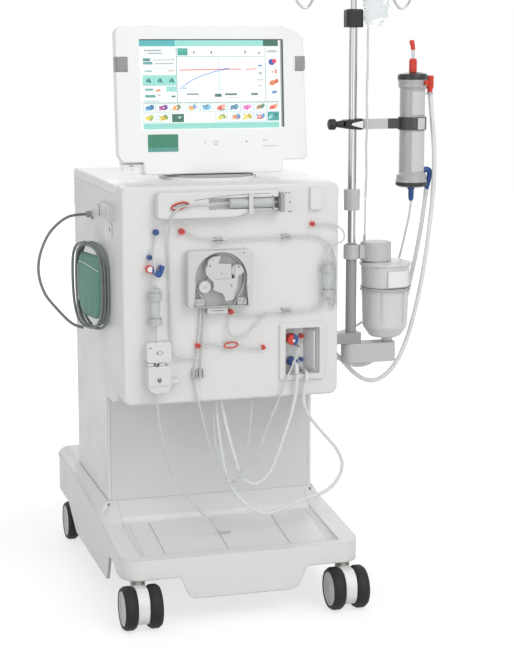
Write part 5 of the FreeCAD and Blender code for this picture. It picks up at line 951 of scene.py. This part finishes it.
LIT = painted_light("screen_light", 0.1)
SCREEN = Matrix.Translation(at(0, -159, 1028)) @ FACING["screen"] @ Matrix.Scale(0.001, 4)
TEAL, MINT, FOREST = (70, 176, 180), (150, 219, 208), (32, 100, 84)
PAPER, GREY_MARK, EDGE = (247, 252, 251), (150, 166, 166), (196, 214, 213)
picture = Shape("screen_picture")
SCREEN_WIDE, SCREEN_TALL, SCREEN_TOP = 346, 208, 282
GLASS_FACE, BEZEL_FACE = 23.12, 26.02
FIRST_LAYER, LAYER = 23.16, 0.07


def across_share(share):
    return SCREEN_WIDE * share - SCREEN_WIDE / 2


def up_share(share):
    return SCREEN_TOP - SCREEN_TALL * share


def painted(outline, layer, colour):
    """One flat form of the picture; a higher layer lies over a lower one."""
    picture.prism(outline, GLASS_FACE, FIRST_LAYER + LAYER * layer, SCREEN, LIT, 0, linear(colour))


def tile(left, top, right, low, colour, layer=1, soft=0.0):
    width, height = SCREEN_WIDE * (right - left), SCREEN_TALL * (low - top)
    outline = box_outline(width, height, min(soft, 0.45 * min(width, height)),
                          across_share((left + right) / 2), up_share((top + low) / 2), 3)
    painted(outline, layer, colour)


def blob(middle, down, wide, tall, colour, layer=2, lean=0.0):
    points = []
    for i in range(14):
        angle = math.tau * i / 14
        x, y = wide * SCREEN_WIDE / 2 * math.cos(angle), tall * SCREEN_TALL / 2 * math.sin(angle)
        points.append((across_share(middle) + x + lean * y, up_share(down) + y))
    painted(points, layer, colour)


def stroke(points, thick, colour, layer=2):
    """A line of short joined bars, as a curve on the graph."""
    places = [Vector((across_share(u), up_share(v))) for u, v in points]
    for a, b in zip(places, places[1:]):
        way = (b - a).normalized()
        beside = Vector((-way.y, way.x)) * thick / 2
        reach = way * thick / 3
        corners = [a - reach - beside, b + reach - beside, b + reach + beside, a - reach + beside]
        painted([tuple(c) for c in corners], layer, colour)


tile(0, 0, 1, 1, PAPER, 0)
tile(0, 0.012, 0.245, 0.078, TEAL)
tile(0.245, 0.012, 0.86, 0.078, MINT)
tile(0.86, 0.012, 0.966, 0.078, FOREST)
tile(0, 0, 1, 0.012, (66, 84, 84), 2)
tile(0.98, 0.012, 1, 0.985, (150, 156, 158), 2)
tile(0.99, 0.012, 1, 0.985, (60, 64, 66), 3)
for left, right, down, tall, colour in (
    (0.035, 0.15, 0.125, 0.014, GREY_MARK), (0.06, 0.155, 0.155, 0.014, GREY_MARK),
    (0.025, 0.075, 0.225, 0.03, (66, 140, 140)), (0.095, 0.215, 0.228, 0.008, GREY_MARK),
    (0.22, 0.24, 0.222, 0.012, GREY_MARK), (0.025, 0.09, 0.262, 0.03, (96, 160, 158)),
    (0.105, 0.235, 0.268, 0.014, (170, 188, 186)), (0.035, 0.085, 0.35, 0.018, (140, 190, 184)),
    (0.195, 0.24, 0.345, 0.018, (214, 200, 190)), (0.035, 0.09, 0.553, 0.026, (108, 176, 168)),
    (0.035, 0.105, 0.625, 0.03, (96, 160, 152)), (0.12, 0.14, 0.615, 0.012, GREY_MARK),
    (0.215, 0.243, 0.63, 0.02, (70, 120, 116)),
    (0.32, 0.405, 0.607, 0.016, (120, 132, 132)), (0.515, 0.562, 0.622, 0.036, (60, 108, 104)),
    (0.588, 0.67, 0.612, 0.022, (96, 118, 116)), (0.612, 0.69, 0.648, 0.006, (190, 200, 200)),
    (0.77, 0.818, 0.612, 0.026, (104, 124, 122)), (0.822, 0.852, 0.295, 0.02, (120, 150, 200)),
    (0.826, 0.848, 0.378, 0.018, (140, 170, 160)), (0.812, 0.858, 0.454, 0.012, (186, 198, 198)),
    (0.826, 0.845, 0.52, 0.014, (170, 190, 186)), (0.83, 0.842, 0.4, 0.006, GREY_MARK),
    (0.827, 0.85, 0.585, 0.008, EDGE),
    (0.025, 0.13, 0.683, 0.008, (150, 196, 190)), (0.295, 0.32, 0.54, 0.012, (120, 160, 214)),
    (0.545, 0.565, 0.565, 0.008, (170, 200, 220)), (0.595, 0.62, 0.17, 0.006, EDGE),
):
    tile(left, down - tall / 2, right, down + tall / 2, colour)
for down in (0.11, 0.205, 0.315, 0.395, 0.505, 0.67):
    tile(0.02, down - 0.002, 0.25, down + 0.002, EDGE)
tile(0.02, 0.397, 0.25, 0.51, MINT)
for middle in (0.057, 0.135, 0.215):
    blob(middle, 0.452, 0.026, 0.05, (44, 150, 128), 3, 0.5)
    blob(middle + 0.012, 0.462, 0.014, 0.04, (26, 112, 98), 4, -0.4)
tile(0.098, 0.4, 0.1, 0.507, (120, 198, 186), 2)
tile(0.172, 0.4, 0.174, 0.507, (120, 198, 186), 2)
tile(0.18, 0.52, 0.25, 0.578, MINT)
blob(0.125, 0.562, 0.034, 0.03, (224, 150, 96), 2, 0.6)
tile(0.252, 0.09, 0.257, 0.695, (126, 166, 164))
tile(0.263, 0.1, 0.332, 0.178, (44, 160, 140), 2)
tile(0.269, 0.118, 0.325, 0.124, (120, 206, 190), 3)
for middle in (0.376, 0.497, 0.733):
    blob(middle, 0.145, 0.012, 0.034, (112, 136, 134), 2, 0.2)
blob(0.832, 0.155, 0.018, 0.02, (112, 136, 134), 2, 0.3)
tile(0.257, 0.189, 0.865, 0.194, (120, 170, 170))
tile(0.546, 0.2, 0.55, 0.56, (160, 205, 228))
tile(0.27, 0.57, 0.43, 0.573, (150, 200, 205))
stroke([(0.278, 0.34), (0.42, 0.336), (0.52, 0.335), (0.66, 0.333), (0.7, 0.337)], 2.6, (232, 132, 128))
stroke([(0.735, 0.337), (0.775, 0.333), (0.81, 0.33)], 2.4, (236, 140, 134))
stroke([(0.275, 0.548), (0.3, 0.515), (0.335, 0.475), (0.375, 0.44), (0.42, 0.408), (0.47, 0.382),
        (0.52, 0.358), (0.57, 0.338), (0.617, 0.327)], 2.0, (118, 158, 218), 3)
stroke([(0.57, 0.338), (0.6, 0.329), (0.617, 0.329)], 2.6, (70, 84, 190), 4)
tile(0.872, 0.09, 0.876, 0.69, (126, 166, 164))
for down in (0.2, 0.31, 0.43, 0.55):
    tile(0.88, down - 0.002, 0.966, down + 0.002, EDGE)
tile(0.89, 0.12, 0.955, 0.15, (188, 200, 200))
blob(0.92, 0.255, 0.048, 0.07, (52, 78, 170), 2)
blob(0.938, 0.245, 0.03, 0.05, (226, 54, 84), 3)
blob(0.948, 0.362, 0.012, 0.062, (226, 96, 70), 2)
blob(0.925, 0.366, 0.018, 0.026, (226, 170, 180), 2)
blob(0.925, 0.487, 0.05, 0.06, (228, 128, 84), 2, 0.3)
blob(0.953, 0.468, 0.022, 0.05, (214, 84, 52), 3)
blob(0.935, 0.592, 0.04, 0.034, (96, 146, 196), 2, 0.5)
tile(0.018, 0.696, 0.966, 0.703, (110, 150, 148))
ROW_ONE = [
    (0.062, (58, 140, 186), (40, 110, 160)), (0.155, (168, 60, 140), (90, 50, 150)),
    (0.245, (232, 160, 70), (120, 150, 80)), (0.355, (232, 170, 90), (120, 170, 210)),
    (0.455, (90, 170, 200), (130, 200, 220)), (0.555, (226, 80, 60), (240, 170, 150)),
    (0.648, (60, 110, 150), (110, 170, 190)), (0.74, (226, 90, 180), (240, 130, 200)),
    (0.832, (160, 130, 80), (90, 140, 110)), (0.925, (226, 76, 60), (240, 150, 110)),
]
ROW_TWO = [
    (0.058, (222, 206, 60), (170, 190, 60)), (0.157, (226, 200, 50), (140, 170, 70)),
    (0.557, (216, 212, 60), (150, 170, 40)), (0.66, (226, 150, 90), (110, 150, 200)),
    (0.74, (226, 210, 70), (196, 180, 40)), (0.834, (214, 90, 80), (110, 150, 200)),
]
icon_dice = random.Random(7)
for row, down in ((ROW_ONE, 0.757), (ROW_TWO, 0.868)):
    for middle, first, second in row:
        tile(middle - 0.043, down - 0.05, middle + 0.043, down + 0.05, (176, 198, 198), 1, 1.2)
        tile(middle - 0.0405, down - 0.0455, middle + 0.0405, down + 0.0455, (240, 247, 247), 1.4, 1.2)
        blob(middle, down, 0.05, 0.05, first, 2, icon_dice.uniform(-0.6, 0.6))
        blob(middle + 0.018, down - 0.012, 0.026, 0.052, second, 3, icon_dice.uniform(-0.5, 0.5))
        blob(middle - 0.02, down + 0.018, 0.018, 0.022, tuple(min(255, c + 50) for c in first), 4)
        for _ in range(5):
            shade = icon_dice.choice((first, second, (70, 80, 96), (250, 250, 250)))
            blob(middle + icon_dice.uniform(-0.028, 0.028), down + icon_dice.uniform(-0.03, 0.03),
                 icon_dice.uniform(0.006, 0.014), icon_dice.uniform(0.008, 0.02), shade, 5,
                 icon_dice.uniform(-1, 1))
tile(0.215, 0.824, 0.297, 0.915, FOREST, 2)
blob(0.268, 0.862, 0.024, 0.03, (150, 206, 190), 3, 0.5)
tile(0.884, 0.812, 0.966, 0.912, (58, 160, 154), 2)
blob(0.905, 0.87, 0.026, 0.05, (150, 214, 206), 3, 0.6)
blob(0.945, 0.845, 0.02, 0.036, (34, 122, 118), 3)
for middle in (0.107, 0.204, 0.3, 0.405, 0.505, 0.602, 0.694, 0.786, 0.88):
    tile(middle - 0.0012, 0.712, middle + 0.0012, 0.808, EDGE)
for middle in (0.107, 0.204, 0.602, 0.694, 0.786, 0.88):
    tile(middle - 0.0012, 0.818, middle + 0.0012, 0.915, EDGE)
tile(0.018, 0.926, 0.966, 0.99, (142, 214, 200), 2)
picture.done("monitor", sharp=20)

front_plate = Shape("monitor_front_marks")
PLATE_GREEN = surface("plate_green", (64, 134, 108), rough=0.4, grain=0.05, change=4, blotch=30)
PLATE_BAND = surface("plate_band", (88, 156, 148), rough=0.4, grain=0.05, change=4, blotch=30)
MARK = surface("mark_grey", (150, 154, 154), rough=0.5, grain=0.05, blotch=30)
front_plate.plate((72, 40, 1, -122, 44), BEZEL_FACE, 26.5, SCREEN, PLATE_GREEN)
front_plate.plate((71.4, 9, 0.6, -122, 29), 26.03, 26.56, SCREEN, PLATE_BAND)
for across, up, radius in ((-21, 43.5, 1.6), (79, 44.5, 2.2), (121, 46, 1.6), (127, 46, 1.6)):
    front_plate.disc(radius, across, up, 16, BEZEL_FACE, 26.3, SCREEN, MARK)
front_plate.lathe([(4.4, BEZEL_FACE), (5.4, BEZEL_FACE), (5.4, 26.34), (4.4, 26.34), (4.4, BEZEL_FACE)],
                  SCREEN @ Matrix.Translation((4.6, 42.5, 0)), MARK, 24)
front_plate.plate((34, 1, 0.4, 136, 33), BEZEL_FACE, 26.2, SCREEN, MARK)
front_plate.done("monitor")

# Detail of the cartridge cup and the left side

cup = Shape("cup_detail")
cup_axis = spot(409, -240, 578, "up")


def cup_radius(height):
    """The cup's outer radius this far above its lowest point."""
    return 54.4 + 9 * (height - 40) / 158


def cup_band(low, high, proud, material):
    under, over = cup_radius(low), cup_radius(high)
    cup.lathe([(under - 1, low), (under + proud, low + 0.6), (over + proud, high - 0.6), (over - 1, high),
               (under - 1, low)], cup_axis, material, 64)


cup_band(139, 142.5, 1.0, CLIP)
cup_band(147, 148.6, 0.5, SEAM)
for angle in (-150, -118, -62, -30):
    cup.wrap(cup_radius(120) + 0.1, 0.7, angle, angle + 1.2, 62, 138, cup_axis, CLIP, 2)
cup.wrap(cup_radius(176) + 0.15, 0.4, -104, -52, 152, 190, cup_axis, LABEL, 14)
cup.done("holder_arm")

left_side = Shape("left_side_detail")
clip_face = spot(-272, -196, 922, "left")
left_side.plate((118, 26, 4), 0.02, 0.9, clip_face, CLIP, 0.4)
left_side.plate((3, 30, 1, -22), 0.9, 1.4, clip_face, SEAM)
small_box = spot(-256, -222, 880, "left")
left_side.plate((34, 30, 4), 0.02, 3, small_box, LIGHT, 0.8)
left_side.disc(4, -2, 1, 20, 3, 3.6, small_box, DARK_GREY)
left_side.done("cabinet")

# Small parts on the panel

panel = Shape("pump_marks")
PUMP_FRONT = spot(-36, PANEL_Y, 778)
PUMP_DEPTH = 30.0


def pump_dots(places, radius=1.7):
    for across, up in places:
        panel.disc(radius, across, up, 14, PUMP_DEPTH, PUMP_DEPTH + 0.25, PUMP_FRONT, SEAM)


pump_dots([(55, 58), (58, -46), (62, -47.5)])
pump_dots([(53, -56), (60, -62)], 1.2)
for across, up in ((-66, 55), (-66, -55), (66, -20)):
    panel.disc(2.6, across, up, 18, PUMP_DEPTH, PUMP_DEPTH + 0.3, PUMP_FRONT, CLIP)
for side in (-1, 1):
    gate = spot(-34 + side * 50, PANEL_Y - 26.1, 724.8)
    for across in (-6, 4):
        panel.disc(1.3, across, 2, 12, 0, 0.25, gate, SEAM)
latch_mark = spot(-41, PANEL_Y - 24.1, 705)
panel.plate((30, 1.2, 0.5), 0, 0.3, latch_mark, SEAM)
panel.done("cabinet")

race_tube = Shape("pump_tube")
route = [(-31, -66), (-37, -52), (-48, -34)]
route += [(58.4 * math.cos(math.radians(a)), 58.4 * math.sin(math.radians(a))) for a in range(202, -25, -14)]
route += [(48, -34), (37, -52), (31, -66)]
race_tube.tube([(-34 + u, -356, 778 + v) for u, v in route], 2.2, CLEAR, 14)
race_tube.done("cabinet")

rotor_marks = Shape("rotor_marks")
RACE_FLOOR_Y = -348.4
ROTOR_FRONT = spot(-34, RACE_FLOOR_Y - 22, 778)
for across, up, radius in ((-27, 31, 2.4), (40, 27, 2.4), (0.5, 13, 1.8), (23, -15, 2.2), (-20, 44, 1.4)):
    rotor_marks.disc(radius, across, up, 16, 0.0, 0.35, ROTOR_FRONT, MARK)
    rotor_marks.disc(radius * 0.5, across, up, 10, 0.35, 0.5, ROTOR_FRONT, SEAM)
rotor_marks.plate((34, 0.9, 0.3, 2, 0.5), 0.0, 0.25, ROTOR_FRONT, MARK)
rotor_marks.done("rotor")
cap = Shape("roller_cap_left")
cap.lathe([(4.3, 0), (13, 0), (12.4, 1.1), (6, 1.4), (4.3, 1.2), (4.3, 0)],
          spot(-34 - 38.06, RACE_FLOOR_Y - 5 - 13.02, 778 - 17.75), SOFT_WHITE, 40)
cap.done("roller_left")

syringe = Shape("syringe_marks")
for across, up in ((135, 966), (137, 945), (134, 923), (139, 923), (128, 966)):
    syringe.disc(1.6, across, up, 12, 0.02, 0.3, spot(0, PANEL_Y, 0), SEAM)
syringe.tube([(-96, -368.6, 957), (-40, -369.4, 964), (20, -369, 968), (80, -368.4, 969)], 0.5, MARK, 8)
syringe.done("cabinet")

column = Shape("column_marks")
eye = spot(-179, PANEL_Y - 30.02, 616)
column.disc(9, 0, 0, 24, 0, 0.3, eye, MARK, 4.6)
column.disc(6.6, 0.6, 0, 24, 0.3, 0.5, eye, LIGHT, 3.2)
column.plate((6, 1.6, 0.6, -20, 12), 0, 0.3, eye, SEAM)
mark = spot(-180, PANEL_Y - 34.02, 554)
column.disc(6.2, -1, 0, 26, 0, 0.3, mark, DARK_GREY)
column.disc(4.6, -0.6, 0.5, 24, 0.3, 0.5, mark, CLIP)
column.prism([(-3, -3.4), (1, -3.8), (3.4, 2), (0.5, 3.8), (-0.6, 0)], 0.5, 0.7, mark, DARK_GREY)
column.plate((42, 1.1, 0.4, 0, -14), 0, 0.25, mark, MARK)
column.plate((6, 47.6, 0.8), 0, 0.5, spot(-185, PANEL_Y - 30.02, 616), LIGHT)
column.plate((6, 62.4, 0.8), 0, 0.5, spot(-185, PANEL_Y - 34.02, 553.5), LIGHT)
column.done("cabinet")

recess = Shape("recess_plate")
inner = spot(160, PANEL_Y + RECESS_DEPTH, 598)
recess.plate((66, 98, 7), 0.02, 1.4, inner, LIGHT, 0.5)
recess.plate((24, 5, 1.5, -8, 44), 1.4, 2.2, inner, CLIP)
for across, up in ((16, 14), (22, -39), (8, 14), (-8, -44)):
    recess.disc(2.4, across, up, 16, 1.4, 2.4, inner, CLIP)
recess.prism([(182, -300), (200.4, -300), (200.4, -334), (197.6, -334)], 553, 643, spot(0, 0, 0, "up"), LIGHT)
recess.done("cabinet")

# The cloth cuff and the clear bag


def rounded_outline(corners, steps=9):
    """Points along a four-sided outline whose corners have their own radii."""
    points = []
    for index, (x, y, radius) in enumerate(corners):
        a = Vector(corners[index - 1][:2]) - Vector((x, y))
        b = Vector(corners[(index + 1) % len(corners)][:2]) - Vector((x, y))
        a.normalize()
        b.normalize()
        half = a.angle(b) / 2
        reach = radius / math.tan(half)
        start, end = Vector((x, y)) + a * reach, Vector((x, y)) + b * reach
        for step in range(steps + 1):
            share = step / steps
            mid = Vector((x, y))
            points.append(tuple(start * (1 - share) ** 2 + mid * 2 * share * (1 - share) + end * share ** 2))
    return points


def dense(points, count):
    """A closed outline walked in equal steps."""
    rows = [Vector(p) for p in points] + [Vector(points[0])]
    total = sum((b - a).length for a, b in zip(rows, rows[1:]))
    made, walked, index = [], 0.0, 0
    for k in range(count):
        goal = total * k / count
        while walked + (rows[index + 1] - rows[index]).length < goal:
            walked += (rows[index + 1] - rows[index]).length
            index += 1
        step = rows[index + 1] - rows[index]
        made.append(tuple(rows[index] + step * ((goal - walked) / max(step.length, 1e-9))))
    return made


def pillow(shape, outline, thick, where, material, wrinkle, seed, rings=14):
    """A filled pouch: fullest in the middle, thin at its seam, creased near it."""
    number = shape.number(material)
    count = len(outline)
    middle = middle_of(outline)

    def height(point, share):
        full = thick / 2 * (1 - share ** 3.2) ** 0.6
        crease = noise.noise(Vector((point.x * 0.045 + seed, point.y * 0.03, share * 2))) * wrinkle
        fine = noise.noise(Vector((point.x * 0.16, point.y * 0.11, seed))) * wrinkle * 0.45
        return full + (crease + fine) * min(1, (1 - share) * 4) * (0.3 + share)

    sides = []
    for side in (1, -1):
        loops = []
        for ring in range(rings):
            share = 1 - ring / rings
            loop = []
            for p in outline:
                point = middle + (Vector(p) - middle) * share
                w = thick / 2 + side * max(0.25, min(thick / 2 - 0.2, height(point, share)))
                loop.append(shape.mesh.verts.new(where @ Vector((point.x, point.y, w))))
            loops.append(loop)
        tip = shape.mesh.verts.new(where @ Vector((middle.x, middle.y, thick / 2 + side * (thick / 2 - 0.6))))
        shape.skin(loops, number)
        for i in range(count):
            shape.face((loops[-1][i], loops[-1][(i + 1) % count], tip), number)
        sides.append(loops[0])
    for i in range(count):
        j = (i + 1) % count
        shape.face((sides[0][i], sides[0][j], sides[1][j], sides[1][i]), number)


def cloth_material(name, colour, dark):
    """Coated woven cloth: fine weave, slow folds of tone and a soft sheen."""
    sh = Shading(bpy.data.materials.new(name))
    warp = sh.add("ShaderNodeTexWave", Scale=420.0, Distortion=1.5, Vector=sh.place)
    weft = sh.add("ShaderNodeTexWave", Scale=420.0, Distortion=1.5, Vector=sh.place, bands_direction="Z")
    weave = sh.math("ADD", warp.outputs["Fac"], weft.outputs["Fac"])
    tone = sh.mix(sh.noise(16, 4), linear(colour), linear(dark))
    bright = linear(tuple(c + 26 for c in colour))
    sh.shade(Base_Color=sh.mix(sh.spread(weave, 0.0, 0.16, 0.6, 2.0), tone, bright), Sheen_Weight=0.25,
             Roughness=sh.spread(sh.noise(40, 3), 0.62, 0.8), Normal=sh.bump(weave, 0.35, 0.0003))
    return sh.material


CLOTH = cloth_material("cuff_cloth", (104, 158, 138), (92, 144, 126))
CUFF = spot(-272, -112, 738, "cuff")
CUFF_CORNERS = [(-71, -76, 44), (71, -76, 50), (71, 76, 18), (-71, 76, 30)]
cuff_shape = Shape("cloth_cuff")
pillow(cuff_shape, dense(rounded_outline(CUFF_CORNERS), 96), 25.4, CUFF, CLOTH, 2.4, 3.1)
cuff = cuff_shape.done("cabinet", sharp=70, replaces=["pressure_cuff"])
hem = Shape("cuff_hem")
top_line = [(-64, 50), (-40, 53), (-10, 53), (20, 50), (50, 46), (66, 41)]
hem.tube([(u, v, 25.2 - 9 * abs(u / 71) ** 6 - 0.4) for u, v in top_line], 0.9, WHITE, 8, where=CUFF)
side_line = [(-67.5, 44), (-68.5, 10), (-68.5, -20), (-65, -44)]
hem.tube([(u, v, 19.2) for u, v in side_line], 1.0, WHITE, 8, where=CUFF)
hem.done("cabinet")

FILM = surface("bag_film", (232, 236, 237), rough=0.1, clear=0.82, ior=1.16, grain=0.5, grain_scale=160,
               blotch=60)
bag_outline = dense([
    (-30, 41), (-14, 38), (2, 41), (20, 38), (32, 40), (31, 26), (33, 10), (28, -4), (31, -16),
    (24, -24), (20, -34), (4, -33), (-4, -41), (-20, -40), (-26, -28), (-32, -18), (-29, -2), (-33, 16),
], 96)
bag_shape = Shape("clear_bag")
pillow(bag_shape, bag_outline, 20, spot(378, -230, 1376), FILM, 6.5, 8.7)
bag = bag_shape.done("infusion_rod", sharp=50, replaces=["hanging_bag"])
